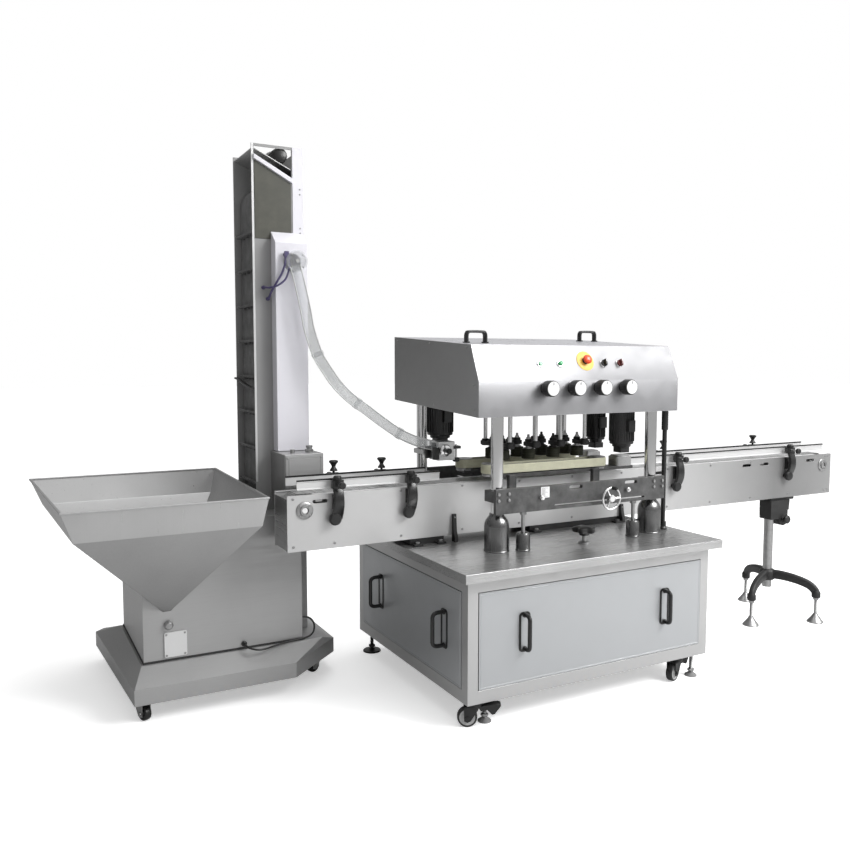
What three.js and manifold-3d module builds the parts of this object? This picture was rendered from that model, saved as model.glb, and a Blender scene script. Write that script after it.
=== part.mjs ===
// In-line capping machine with a cap elevator, a slat conveyor and a conveyor stand.
// Millimetres, +Z up, +X along the conveyor. While it is drawn, the origin is the plan corner of the
// main cabinet on the floor; the last lines move the whole machine so that its origin is the middle of
// its footprint.
import * as THREE from "three";
import { ConvexGeometry } from "three/addons/geometries/ConvexGeometry.js";
import { mergeVertices } from "three/addons/utils/BufferGeometryUtils.js";
import Module from "manifold-3d";

const wasm = await Module();
wasm.setup();

// ---- driving dimensions --------------------------------------------------------------------------

const GAP = 0.3;                 // left between neighbouring pieces
const SHEET = 3;                 // folded sheet metal
const ROUND = 12;                // sides of a full circle
const SMALL = 6;                 // sides of a rod or a bore

// main cabinet and table
const CABINET = { x0: 0, x1: 1200, y0: 0, y1: 1000, z0: 100, z1: 600 };
const FRAME = 45;                // width of the cabinet's border around a panel
const FLOOR = 6;                 // thickness of the cabinet's floor plate
const PANEL = { z0: 150, z1: 520, depth: 18 };
const PULL = { height: 147, reach: 36, bar: 8, inset: 203 };
const TABLE = { x0: -35, x1: 1235, y0: -45, y1: 1040, z0: 570, z1: 605 };
const FOOT = { height: 14, stem: 8 };
const FEET = [[112, 62, 26], [1150, 36, 26], [45, 960, 42], [1140, 940, 42]];
const CABINET_CASTERS = [[57, 40, -118], [1065, 40, -70]];

// casters
const CABINET_WHEEL = { radius: 38, half: 14, bore: 4.3, axle: 4, trail: 30 };
const ELEVATOR_WHEEL = { radius: 30, half: 13, bore: 4.3, axle: 4, trail: 20 };

// columns and the head that slides on them
const COLUMNS = { left: 272, right: 1077, front: 235, rear: 884 };
const COLUMN = { radius: 25, top: 1308, sleeve: 52, sleeveTop: 715, neckTop: 757 };
const HEAD = { x0: 160, x1: 1193, y0: 195, y1: 945, z0: 1145, fold: 1285, lip: 257, lipZ: 1430 };
const HEAD_BACK = { z0: 1184, z1: 1475 };
const DECK = { z0: 1188, z1: 1200 };
const STATIONS = [475, 610, 745, 880];
const KNOB = { z: 1255, radius: 33, reach: 55 };
const LIFT_HANDLES = [[270, 400], [1085, 700]];

// capping wheels, one front and one rear at each station
const CENTRE = 550;              // middle of the bottle line
const ROD = { radius: 9, offset: 100, z0: 985 };
const ARM = { z0: 990, z1: 1004, half: 16, reach: 17 };
const TYRE = { z0: 932, z1: 976, radius: 30, offset: 45, pin: 6, top: 1040 };

// grip belts that hold the bottles
const GRIP = { x0: 330, x1: 985, inner: 70, width: 80, z0: 888, z1: 926, plate: 868 };
const GRIP_RODS = [450, 900];
const ROD_LINE = { z: 815, radius: 8 };
const BEAM = { x0: 235, x1: 1115, z0: 760, z1: 860, thick: 18 };
const HANDWHEEL = { x: 783, z: 790, radius: 50 };
const STAR_KNOB = { x: 667, y: 176, radius: 50, z: 652 };

// conveyor
const LINE = { x0: -523, x1: 2620, z0: 632, z1: 850, half: 80, plate: 6 };
const CHAIN = { x0: -453, x1: 2550, z: 791, radius: 60, thick: 10, half: 45 };
const RAIL = { z0: 866, z1: 908, half: 66, thick: 6, rod: 6, rodZ: 888 };
const RAILS = {
  infeed: { x0: -480, x1: 145, front: [-325, -5], rear: [-262, -44] },
  outfeed: { x0: 1180, x1: 2560, front: [1460, 2262], rear: [1550, 2206] },
};
const BRACKET = { half: 24, y1: 116 };

// conveyor stand
const STAND = { x: 2172, y: 498, hub: 225, column: 24, head: 498, offset: 45, pad: 40 };
const STAND_FEET = [[1938, 396], [2278, 275], [2270, 722]];

// cap elevator
const BASE = { x0: -1125, x1: -200, y0: 612, y1: 1440, z0: 80, lip: 142, deck: 204, splay: 50 };
const BODY = { x0: -1025, x1: -388, y0: 700, y1: 1235, z1: 738 };
const MAST = { x0: -535, x1: -315, y0: 840, y1: 1120, z1: 2250 };
const HOPPER = { y0: 490, z0: 742, z1: 850, rim: 4 };
const HOPPER_RIM = [[-1316, 490], [-585, 490], [-557, 1450], [-1370, 1450]];
const HOPPER_FOLD = [[-1278, 490], [-612, 490], [-592, 1400], [-1325, 1400]];
const APEX = [-935, 712, 396];
const BELT = { x: -446, radius: 62, z0: 320, z1: 2040, thick: 4, cleat: 22, pitch: 150, half: 128 };
const COVER = { x0: -457, x1: -320, y0: 780, z0: 990, back: 1900, front: 1850 };
const GATE = { x: -385, z: 1770, z0: 1700, z1: 1840, radius: 40 };
const BOX = { x0: -470, x1: -304, y0: 655, z0: 800 };
const CHUTE_END = [185, 550, 1000];
const CHUTE_ROUTE = [[-385, 744, 1752], [-367, 738, 1676], [-347, 731, 1573], [-333, 726, 1491],
  [-302, 716, 1392], [-266, 704, 1326], [-225, 690, 1264], [-173, 672, 1208], [-109, 650, 1157],
  [-45, 628, 1105], [19, 606, 1059], [96, 580, 1022], CHUTE_END];

// ---- solids --------------------------------------------------------------------------------------

function solid(geometry) {
  const bare = geometry.clone();
  bare.deleteAttribute("normal");
  bare.deleteAttribute("uv");
  const merged = mergeVertices(bare, 1e-3);
  const mesh = new wasm.Mesh({
    numProp: 3,
    vertProperties: new Float32Array(merged.attributes.position.array),
    triVerts: new Uint32Array(merged.index.array),
  });
  return new wasm.Manifold(mesh);
}

function join(first, ...rest) {
  return rest.reduce((whole, piece) => whole.add(piece), first);
}

function cut(first, ...rest) {
  return rest.reduce((whole, piece) => whole.subtract(piece), first);
}

function box(x0, x1, y0, y1, z0, z1) {
  const geometry = new THREE.BoxGeometry(x1 - x0, y1 - y0, z1 - z0);
  geometry.translate((x0 + x1) / 2, (y0 + y1) / 2, (z0 + z1) / 2);
  return solid(geometry);
}

// a round bar between two points
function bar(from, to, radius, sides = ROUND) {
  const a = new THREE.Vector3(...from);
  const b = new THREE.Vector3(...to);
  const along = b.clone().sub(a);
  const geometry = new THREE.CylinderGeometry(radius, radius, along.length(), sides);
  const turn = new THREE.Quaternion().setFromUnitVectors(new THREE.Vector3(0, 1, 0), along.normalize());
  geometry.applyQuaternion(turn);
  geometry.translate((a.x + b.x) / 2, (a.y + b.y) / 2, (a.z + b.z) / 2);
  return solid(geometry);
}

// a bore that a turning bar of the same number of sides clears all the way round
function bore(from, to, radius, sides = SMALL) {
  return bar(from, to, radius / Math.cos(Math.PI / sides), sides);
}

function upright(x, y, z0, z1, radius, sides = ROUND) {
  return bar([x, y, z0], [x, y, z1], radius, sides);
}

function hull(points) {
  return solid(new ConvexGeometry(points.map((p) => new THREE.Vector3(...p))));
}

// a turned piece about +Z, from [radius, height] pairs that start and end on the axis or close
function turned(profile, sides = ROUND) {
  const points = profile.map(([radius, height]) => new THREE.Vector2(radius, height));
  const geometry = new THREE.LatheGeometry(points, sides);
  geometry.rotateX(Math.PI / 2);
  return solid(geometry);
}

// an outline in (y, z) drawn out along X
function alongX(outline, x0, x1) {
  const geometry = new THREE.ExtrudeGeometry(outline, { depth: x1 - x0, bevelEnabled: false });
  geometry.applyMatrix4(new THREE.Matrix4().set(0, 0, 1, x0, 1, 0, 0, 0, 0, 1, 0, 0, 0, 0, 0, 1));
  return solid(geometry);
}

// an outline in (x, z) drawn out along Y
function alongY(outline, y0, y1, curveSegments = 4) {
  const options = { depth: y1 - y0, bevelEnabled: false, curveSegments };
  const geometry = new THREE.ExtrudeGeometry(outline, options);
  geometry.applyMatrix4(new THREE.Matrix4().set(1, 0, 0, 0, 0, 0, -1, y1, 0, 1, 0, 0, 0, 0, 0, 1));
  return solid(geometry);
}

// an outline in (x, y) drawn out along Z
function alongZ(outline, z0, z1, curveSegments = 4) {
  const options = { depth: z1 - z0, bevelEnabled: false, curveSegments };
  const geometry = new THREE.ExtrudeGeometry(outline, options);
  geometry.translate(0, 0, z0);
  return solid(geometry);
}

function polygon(points) {
  return new THREE.Shape(points.map(([u, v]) => new THREE.Vector2(u, v)));
}

// a slot shape: two half circles joined by straight sides, between u0 and u1 in its first direction
function stadium(u0, u1, v, radius) {
  const shape = new THREE.Shape();
  shape.moveTo(u0 + radius, v - radius);
  shape.lineTo(u1 - radius, v - radius);
  shape.absarc(u1 - radius, v, radius, -Math.PI / 2, Math.PI / 2, false);
  shape.lineTo(u0 + radius, v + radius);
  shape.absarc(u0 + radius, v, radius, Math.PI / 2, 1.5 * Math.PI, false);
  return shape;
}

// a section swept along a smooth curve through the points
function swept(section, points, steps) {
  const path = new THREE.CatmullRomCurve3(points.map((p) => new THREE.Vector3(...p)));
  return solid(new THREE.ExtrudeGeometry(section, { extrudePath: path, steps, curveSegments: 4 }));
}

function circle(radius) {
  const shape = new THREE.Shape();
  shape.absarc(0, 0, radius, 0, 2 * Math.PI, false);
  return shape;
}

// ---- scene graph ---------------------------------------------------------------------------------

const machine = new THREE.Group();

function paint(color, roughness, metalness) {
  return new THREE.MeshStandardMaterial({ color, roughness, metalness });
}

const PAINT = () => paint(0xb9bbbe, 0.45, 0.2);
const STEEL = () => paint(0xc9cacc, 0.32, 0.9);
const DARK_STEEL = () => paint(0x6f7174, 0.4, 0.8);
const CHROME = () => paint(0xe2e3e5, 0.12, 1.0);
const BLACK = () => paint(0x17181a, 0.45, 0.0);
const RUBBER = () => paint(0x1b1c1a, 0.8, 0.0);
const CREAM = () => paint(0xd9d6b8, 0.6, 0.0);
const CLEAR = () => paint(0xdfe6e8, 0.1, 0.0);

function put(name, shape, material, parent = machine) {
  const { vertProperties, triVerts } = shape.getMesh();
  const geometry = new THREE.BufferGeometry();
  geometry.setAttribute("position", new THREE.BufferAttribute(new Float32Array(vertProperties), 3));
  geometry.setIndex(new THREE.BufferAttribute(new Uint32Array(triVerts), 1));
  geometry.computeVertexNormals();
  const mesh = new THREE.Mesh(geometry, material);
  mesh.name = name;
  parent.add(mesh);
  return mesh;
}

function place(x, y, z, turnZ = 0) {
  const group = new THREE.Group();
  group.position.set(x, y, z);
  group.rotation.z = THREE.MathUtils.degToRad(turnZ);
  machine.add(group);
  return group;
}

// ---- casters and levelling feet ------------------------------------------------------------------

// swivel plate, crown, two cheeks and the axle, about the swivel's own axis
function casterFork(height, { radius, half, axle, trail }) {
  const outer = half + 7;
  const crownTop = height - 7;
  const crown = box(-outer, outer, -trail - 12, 12, 2 * radius + 4, crownTop);
  const stem = upright(0, 0, crownTop - 4, height, 22, SMALL);
  const cheeks = [-1, 1].map((side) => {
    const inner = side * (half + 3.5);
    const [x0, x1] = [Math.min(inner, side * outer), Math.max(inner, side * outer)];
    return box(x0, x1, -trail - 11, -trail + 11, radius - 9, crownTop - 4);
  });
  const pin = bar([-outer, -trail, radius], [outer, -trail, radius], axle, SMALL);
  return join(crown, stem, ...cheeks, pin);
}

function casterWheel({ radius, half, bore: eye, trail }) {
  const profile = [[eye, -half], [radius - 3, -half], [radius, -half + 3], [radius, half - 3],
    [radius - 3, half], [eye, half], [eye, -half]];
  const turn = new THREE.LatheGeometry(profile.map(([r, h]) => new THREE.Vector2(r, h)), ROUND);
  turn.rotateZ(-Math.PI / 2);
  turn.translate(0, -trail, radius);
  return solid(turn);
}

function levellingFoot(x, y, top, radius, height = FOOT.height) {
  const { stem } = FOOT;
  const pad = turned([[0, 0], [radius, 0], [radius, 5], [stem + 6, height], [0, height]]);
  return join(pad, upright(0, 0, height - 2, top, stem, SMALL)).translate(x, y, 0);
}

// ---- main cabinet --------------------------------------------------------------------------------

// grip bar on two legs, out along -Y
function pullHandle() {
  const { height, reach, bar: radius } = PULL;
  const high = height / 2 - radius;
  const grip = upright(0, -reach, -high - radius, high + radius, radius);
  const legs = [-1, 1].map((side) => bar([0, -reach, side * high], [0, 1, side * high], radius - 1, SMALL));
  return join(grip, ...legs);
}

function panelPan(length, handles) {
  const { z0, z1, depth } = PANEL;
  const pan = cut(
    box(0, length, 0, depth, z0 + GAP, z1 - GAP),
    box(SHEET, length - SHEET, SHEET, depth + 1, z0 + SHEET, z1 - SHEET),
  );
  const pulls = handles.map((x) => pullHandle().translate(x, 0, (z0 + z1) / 2 + 10));
  return join(pan, ...pulls);
}

function cabinetFrame() {
  const { x0, x1, y0, y1, z0, z1 } = CABINET;
  const shell = cut(
    box(x0, x1, y0, y1, z0, z1 - GAP),
    box(x0 + SHEET, x1 - SHEET, y0 + SHEET, y1 - SHEET, z0 + FLOOR, z1 + 1),
    box(x0 + FRAME, x1 - FRAME, y0 - 1, y0 + SHEET + 1, PANEL.z0, PANEL.z1),
    box(x0 - 1, x0 + SHEET + 1, y0 + FRAME, y1 - FRAME, PANEL.z0, PANEL.z1),
  );
  const feet = FEET.map(([x, y, radius]) => levellingFoot(x, y, z0 + 3, radius));
  const forks = CABINET_CASTERS.map(([x, y, turn]) => (
    casterFork(z0 + 1, CABINET_WHEEL).rotate([0, 0, turn]).translate(x, y, 0)));
  return join(shell, ...feet, ...forks);
}

put("cabinet_frame", cabinetFrame(), PAINT());
const frontPanel = place(CABINET.x0 + FRAME + GAP, CABINET.y0, 0);
const frontLength = CABINET.x1 - CABINET.x0 - 2 * (FRAME + GAP);
put("front_panel", panelPan(frontLength, [PULL.inset, frontLength - PULL.inset]), PAINT(), frontPanel);
const leftPanel = place(CABINET.x0, CABINET.y1 - FRAME - GAP, 0, -90);
const leftLength = CABINET.y1 - CABINET.y0 - 2 * (FRAME + GAP);
put("left_panel", panelPan(leftLength, [PULL.inset, leftLength - PULL.inset + 75]), PAINT(), leftPanel);

function tableTop() {
  const { x0, x1, y0, y1, z0, z1 } = TABLE;
  return cut(
    box(x0, x1, y0, y1, z0, z1),
    box(x0 + SHEET, x1 - SHEET, y0 + SHEET, y1 - SHEET, z0 - 1, CABINET.z1),
  );
}
put("table_top", tableTop(), PAINT());

CABINET_CASTERS.forEach(([x, y, turn], i) => {
  put(`cabinet_wheel_${["left", "right"][i]}`, casterWheel(CABINET_WHEEL), RUBBER(), place(x, y, 0, turn));
});

// ---- columns -------------------------------------------------------------------------------------

function column() {
  const { radius, top, sleeve, sleeveTop, neckTop } = COLUMN;
  const foot = TABLE.z1 + GAP;
  return turned([[0, foot], [sleeve, foot], [sleeve, sleeveTop], [sleeve - 6, sleeveTop + 16],
    [radius + 5, neckTop - 10], [radius + 5, neckTop], [radius, neckTop], [radius, top - 4],
    [radius - 4, top], [0, top]]);
}

for (const [row, y] of [["front", COLUMNS.front], ["rear", COLUMNS.rear]]) {
  for (const side of ["left", "right"]) {
    put(`${row}_${side}_column`, column(), CHROME(), place(COLUMNS[side], y, 0));
  }
}

// ---- head ----------------------------------------------------------------------------------------

const SLOPE = Math.atan2(HEAD.lipZ - HEAD.fold, HEAD.lip - HEAD.y0);   // of the slanted control face

function headOutline(inset) {
  const { y0, y1, z0, fold, lip, lipZ } = HEAD;
  return polygon([
    [y0 + inset, z0 - (inset ? 60 : 0)],
    [y0 + inset, fold + inset * Math.tan((Math.PI / 2 - SLOPE) / 2)],
    [lip + inset * Math.tan(SLOPE / 2), lipZ - inset],
    [y1 - inset, HEAD_BACK.z1 - inset],
    [y1 - inset, HEAD_BACK.z0 - (inset ? 100 : 0)],
  ]);
}

// a point on the slanted face at x, and part of the way up it
function onSlant(x, part) {
  return [x, HEAD.y0 + part * (HEAD.lip - HEAD.y0), HEAD.fold + part * (HEAD.lipZ - HEAD.fold)];
}

function outOfSlant(point, distance) {
  return [point[0], point[1] - distance * Math.sin(SLOPE), point[2] + distance * Math.cos(SLOPE)];
}

const CONTROLS = {
  emergency_stop: { at: onSlant(700, 0.55), hole: 8.6 },
  start_button: { at: onSlant(468, 0.47), hole: 11.4 },
  mode_selector: { at: onSlant(793, 0.47), hole: 8.6 },
  light_selector: { at: onSlant(879, 0.47), hole: 8.6 },
};

function liftHandle([x, y]) {
  const slope = (HEAD_BACK.z1 - HEAD.lipZ) / (HEAD.y1 - HEAD.lip);
  const z = HEAD.lipZ + (y - HEAD.lip) * slope;
  return swept(circle(7), [[x - 45, y, z - 1], [x - 45, y, z + 36], [x - 34, y, z + 48],
    [x + 34, y, z + 48], [x + 45, y, z + 36], [x + 45, y, z - 1]], 14);
}

function headCasing() {
  const shell = cut(
    alongX(headOutline(0), HEAD.x0, HEAD.x1),
    alongX(headOutline(SHEET), HEAD.x0 + SHEET, HEAD.x1 - SHEET),
  );
  const holes = Object.values(CONTROLS).map(({ at, hole }) => (
    bar(outOfSlant(at, -12), outOfSlant(at, 8), hole)));
  return join(cut(shell, ...holes), ...LIFT_HANDLES.map(liftHandle));
}
put("head_casing", headCasing(), PAINT());

function spindleArm(x, side) {
  const rodY = CENTRE + side * ROD.offset;
  const pinY = CENTRE + side * TYRE.offset;
  const [y0, y1] = side < 0 ? [rodY - 14, pinY + ARM.reach] : [pinY - ARM.reach, rodY + 14];
  const rod = upright(x, rodY, ROD.z0, DECK.z0 + 2, ROD.radius, SMALL);
  const arm = box(x - ARM.half, x + ARM.half, y0, y1, ARM.z0, ARM.z1);
  return cut(join(rod, arm), bore([x, pinY, ARM.z0 - 1], [x, pinY, ARM.z1 + 1], TYRE.pin + 0.5));
}

// a motor hanging from the deck, with its output shaft below
function hangingMotor(x, y, radius, z0, shaft, shaftEnd) {
  const body = join(
    upright(x, y, z0, DECK.z0 + 2, radius),
    upright(x, y, DECK.z0 - 14, DECK.z0 + 2, radius + 10),
    upright(x, y, z0 - 12, z0 + 2, radius - 12),
  );
  return join(body, upright(x, y, shaftEnd, z0 - 10, shaft, SMALL));
}

function headDeck() {
  const inset = SHEET + GAP;
  const { left, right, front, rear } = COLUMNS;
  const corners = [[left, front], [left, rear], [right, front], [right, rear]];
  const plate = box(HEAD.x0 + inset, HEAD.x1 - inset, HEAD.y0 + inset, HEAD.y1 - inset, DECK.z0, DECK.z1);
  const bushings = corners.map(([x, y]) => upright(x, y, DECK.z0 - 18, DECK.z1 + 50, COLUMN.radius + 9));
  const bores = corners.map(([x, y]) => upright(x, y, DECK.z0 - 30, DECK.z1 + 60, COLUMN.radius + 0.5));
  const arms = STATIONS.flatMap((x) => [spindleArm(x, -1), spindleArm(x, 1)]);
  return join(
    cut(join(plate, ...bushings), ...bores),
    ...arms,
    hangingMotor(240, 650, 60, 1040, 14, 992),
    hangingMotor(1085, 620, 45, 985, 10, 950),
    hangingMotor(1054, 400, 58, 985, 12, 945),
  );
}
put("head_deck", headDeck(), DARK_STEEL());

function cappingWheel() {
  const { z0, z1, radius, pin, top } = TYRE;
  return turned([[0, z0], [radius - 2, z0], [radius, z0 + 3], [radius, z1 - 3], [radius - 2, z1],
    [14, z1], [14, ARM.z0 - 2], [pin, ARM.z0 - 2], [pin, top - 2], [pin - 2, top], [0, top]], ROUND);
}

for (const [row, side] of [["front", -1], ["rear", 1]]) {
  STATIONS.forEach((x, i) => {
    const spindle = place(x, CENTRE + side * TYRE.offset, 0);
    put(`${row}_capping_wheel_${i + 1}`, cappingWheel(), RUBBER(), spindle);
  });
}

// ---- controls ------------------------------------------------------------------------------------

function speedKnob() {
  const { radius, reach } = KNOB;
  const knob = turned([[0, GAP], [radius - 7, GAP], [radius - 7, 12], [radius - 2, 16], [radius, 22],
    [radius, reach - 3], [radius - 3, reach], [0, reach]]);
  return knob.rotate([90, 0, 0]);
}
STATIONS.forEach((x, i) => put(`speed_knob_${i + 1}`, speedKnob(), BLACK(), place(x, HEAD.y0, KNOB.z)));

// a group whose +Z leaves the slanted face
function onFace(name) {
  const group = place(...CONTROLS[name].at);
  group.rotation.x = SLOPE;
  return group;
}

const mushroom = turned([[0, -10], [8, -10], [8, 15], [16, 15], [20, 19], [20, 23], [16, 28], [0, 30]]);
put("emergency_stop", mushroom, paint(0xd2401c, 0.4, 0), onFace("emergency_stop"));
const push = turned([[0, -9], [11, -9], [11, 9], [9, 11], [0, 11]]);
put("start_button", push, paint(0x2f9c5a, 0.35, 0), onFace("start_button"));

function selector() {
  const dial = turned([[0, -9], [8, -9], [8, 4], [15, 4], [15, 12], [13, 14], [0, 14]]);
  return join(dial, box(-4, 4, -14, 14, 13, 26));
}
put("mode_selector", selector(), BLACK(), onFace("mode_selector"));
put("light_selector", selector(), paint(0x5a1712, 0.4, 0), onFace("light_selector"));

// ---- cross beams on the columns ------------------------------------------------------------------

// side is -1 for the beam in front of the front columns and 1 for the one behind the rear columns
function crossBeam(side) {
  const columnY = side < 0 ? COLUMNS.front : COLUMNS.rear;
  const faceY = columnY + side * (COLUMN.radius + 8);
  const [y0, y1] = side < 0 ? [faceY - BEAM.thick, faceY] : [faceY, faceY + BEAM.thick];
  const middle = (y0 + y1) / 2;
  let beam = box(BEAM.x0, BEAM.x1, y0, y1, BEAM.z0, BEAM.z1);
  for (const x of [COLUMNS.left, COLUMNS.right]) {
    const [clamp0, clamp1] = [faceY, columnY - side * 36].sort((a, b) => a - b);
    beam = join(beam, box(x - 36, x + 36, clamp0, clamp1, BEAM.z0 + 44, BEAM.z1 - 10));
    beam = cut(beam, upright(x, columnY, BEAM.z0 - 1, BEAM.z1 + 1, COLUMN.radius + 0.5));
  }
  for (const x of [371, 945]) {
    beam = join(beam, upright(x, middle, TABLE.z1 + GAP, BEAM.z0 + 5, 8, SMALL));
    beam = join(beam, upright(x, middle, TABLE.z1 + GAP, TABLE.z1 + 75, 30, ROUND));
  }
  for (const x of GRIP_RODS) {
    beam = cut(beam, bar([x, y0 - 1, ROD_LINE.z], [x, y1 + 1, ROD_LINE.z], ROD_LINE.radius + 0.5, SMALL));
  }
  if (side < 0) {
    const { x, z } = HANDWHEEL;
    beam = cut(beam, bore([x, y0 - 1, z], [x, y1 + 1, z], 8.5));
  }
  return beam;
}
put("front_beam", crossBeam(-1), DARK_STEEL());
put("rear_beam", crossBeam(1), DARK_STEEL());

function handwheel() {
  const { radius } = HANDWHEEL;
  const rim = turned([[radius - 9, 34], [radius, 34], [radius, 46], [radius - 9, 46], [radius - 9, 34]]);
  const hub = turned([[0, -34], [8, -34], [8, 24], [15, 24], [15, 48], [0, 48]], SMALL);
  const spokes = [0, 120, 240].map((turn) => box(0, radius - 5, -4, 4, 36, 43).rotate([0, 0, turn]));
  const grip = upright(0, radius - 5, 40, 68, 7, SMALL);
  return join(rim, hub, ...spokes, grip).rotate([90, 0, 0]);
}
const beamFace = COLUMNS.front - COLUMN.radius - 8 - BEAM.thick;
put("grip_handwheel", handwheel(), CHROME(), place(HANDWHEEL.x, beamFace, HANDWHEEL.z));

function starKnob() {
  const { radius, z } = STAR_KNOB;
  const foot = TABLE.z1 + GAP;
  const profile = [[0, foot], [24, foot], [24, foot + 10], [9, foot + 14], [9, z], [20, z], [0, z + 24]];
  const lobes = [0, 1, 2, 3, 4].map((i) => {
    const turn = (i * 2 * Math.PI) / 5;
    return upright((radius - 16) * Math.cos(turn), (radius - 16) * Math.sin(turn), z, z + 20, 16, SMALL);
  });
  return join(turned(profile), upright(0, 0, z, z + 20, radius - 14), ...lobes);
}
put("star_knob", starKnob(), BLACK(), place(STAR_KNOB.x, STAR_KNOB.y, 0));

// ---- grip belts ----------------------------------------------------------------------------------

// belt loop, its two pulleys, carrier plate, hangers and guide rods; side is -1 in front of the bottles
function gripUnit(side) {
  const { x0, x1, inner, width, z0, z1, plate } = GRIP;
  const middle = CENTRE + side * (inner + width / 2);
  const radius = width / 2;
  const outer = CENTRE + side * (inner + width);
  const belt = cut(
    alongZ(stadium(x0, x1, middle, radius), z0, z1),
    alongZ(stadium(x0 + 5, x1 - 5, middle, radius - 5), z0 - 1, z1 + 1),
  );
  const pulleys = [x0 + radius, x1 - radius].map((x) => upright(x, middle, plate + 8, z1 + 4, radius - 4));
  const carrier = box(x0 + 20, x1 + 145, middle - 34, middle + 34, plate, plate + 14);
  const backing = box(x0 + radius, x1 - radius, middle - 12, middle + 12, plate + 10, z1 - 4);
  const gearbox = box(x1 + 50, x1 + 140, middle - 34, middle + 34, plate + 10, z1 + 6);
  const beamY = side < 0 ? COLUMNS.front : COLUMNS.rear;
  const rodEnd = beamY + side * (COLUMN.radius + 8 + BEAM.thick + 22);
  const hangers = GRIP_RODS.map((x) => {
    const y = [outer - side * 8, outer + side * 14].sort((a, b) => a - b);
    return box(x - 18, x + 18, y[0], y[1], ROD_LINE.z - 16, plate + 12);
  });
  const rods = GRIP_RODS.map((x) => (
    bar([x, outer, ROD_LINE.z], [x, rodEnd, ROD_LINE.z], ROD_LINE.radius, SMALL)));
  return join(carrier, belt, ...pulleys, backing, gearbox, ...hangers, ...rods);
}
put("front_grip_belt", gripUnit(-1), CREAM());
put("rear_grip_belt", gripUnit(1), CREAM());

// ---- conveyor ------------------------------------------------------------------------------------

// bracket arm on a side plate, which holds a guide rail's rod
function railBracket(x, side) {
  const { half, y1 } = BRACKET;
  const profile = [[84, 904], [84, 870], [79, 846], [79, 790], [90, 762], [104, 736], [118, 720],
    [128, 728], [118, 750], [106, 776], [100, 806], [101, 846], [y1, 874], [y1, 904]];
  const arm = alongX(polygon(profile.map(([y, z]) => [CENTRE + side * y, z])), x - half, x + half);
  const eye = [CENTRE + side * 78, CENTRE + side * (y1 + 2)].sort((a, b) => a - b);
  return cut(arm, bar([x, eye[0], RAIL.rodZ], [x, eye[1], RAIL.rodZ], RAIL.rod + 0.5, SMALL));
}

function conveyorFrame() {
  const { x0, x1, z0, z1, half, plate } = LINE;
  const sides = [-1, 1].map((side) => {
    const ys = [CENTRE + side * half, CENTRE + side * (half - plate)].sort((a, b) => a - b);
    return box(x0, x1, ys[0], ys[1], z0, z1);
  });
  const ends = [x0, x1 - plate].map((x) => box(x, x + plate, CENTRE - half, CENTRE + half, z0, z1 - 12));
  const bedTop = CHAIN.z + CHAIN.radius - CHAIN.thick - 1;
  const bed = box(CHAIN.x0 + 64, CHAIN.x1 - 64, CENTRE - 38, CENTRE + 38, bedTop - 8, bedTop);
  const ties = Array.from({ length: 8 }, (_, i) => {
    const x = CHAIN.x0 + 60 + (i * (CHAIN.x1 - CHAIN.x0 - 120)) / 7;
    return box(x - 14, x + 14, CENTRE - half + 1, CENTRE + half - 1, bedTop - 20, bedTop - 6);
  });
  const legs = [170, 1000].map((x) => (
    box(x - 30, x + 30, CENTRE - half, CENTRE + half, TABLE.z1 + GAP, z0 + 4)));
  const brackets = Object.values(RAILS).flatMap(({ front, rear }) => [
    ...front.map((x) => railBracket(x, -1)),
    ...rear.map((x) => railBracket(x, 1)),
  ]);
  const frame = join(sides[0], sides[1], ...ends, bed, ...ties, ...legs, ...brackets);
  const bores = [CHAIN.x0, CHAIN.x1].map((x) => (
    bore([x, CENTRE - 90, CHAIN.z], [x, CENTRE + 90, CHAIN.z], 12.5)));
  return cut(frame, ...bores);
}
put("conveyor_frame", conveyorFrame(), STEEL());

function slatChain() {
  const { x0, x1, z, radius, thick, half } = CHAIN;
  const outer = stadium(x0 - radius, x1 + radius, z, radius);
  const inner = stadium(x0 - radius + thick, x1 + radius - thick, z, radius - thick);
  return cut(
    alongY(outer, CENTRE - half, CENTRE + half, 6),
    alongY(inner, CENTRE - half - 1, CENTRE + half + 1, 6),
  );
}
put("slat_chain", slatChain(), DARK_STEEL());

function chainRoller() {
  const drum = bar([0, -CHAIN.half + 1, 0], [0, CHAIN.half - 1, 0], CHAIN.radius - CHAIN.thick - 0.6);
  const axle = bar([0, -LINE.half - 6, 0], [0, LINE.half + 6, 0], 12, SMALL);
  return join(drum, axle);
}
put("chain_idler_roller", chainRoller(), STEEL(), place(CHAIN.x0, CENTRE, CHAIN.z));
put("chain_drive_roller", chainRoller(), STEEL(), place(CHAIN.x1, CENTRE, CHAIN.z));

function guideRail(x0, x1, rods, side) {
  const { z0, z1, half, thick, rod, rodZ } = RAIL;
  const ys = [CENTRE + side * half, CENTRE + side * (half + thick)].sort((a, b) => a - b);
  const strip = box(x0, x1, ys[0], ys[1], z0, z1);
  const tail = CENTRE + side * (BRACKET.y1 + 26);
  const pins = rods.map((x) => bar([x, CENTRE + side * (half + 2), rodZ], [x, tail, rodZ], rod, SMALL));
  const knobs = rods.map((x) => bar([x, tail - side * 4, rodZ], [x, tail + side * 16, rodZ], 14, SMALL));
  return join(strip, ...pins, ...knobs);
}
for (const [end, { x0, x1, front, rear }] of Object.entries(RAILS)) {
  put(`${end}_front_rail`, guideRail(x0, x1, front, -1), STEEL());
  put(`${end}_rear_rail`, guideRail(x0, x1, rear, 1), STEEL());
}

// ---- conveyor stand ------------------------------------------------------------------------------

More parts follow.
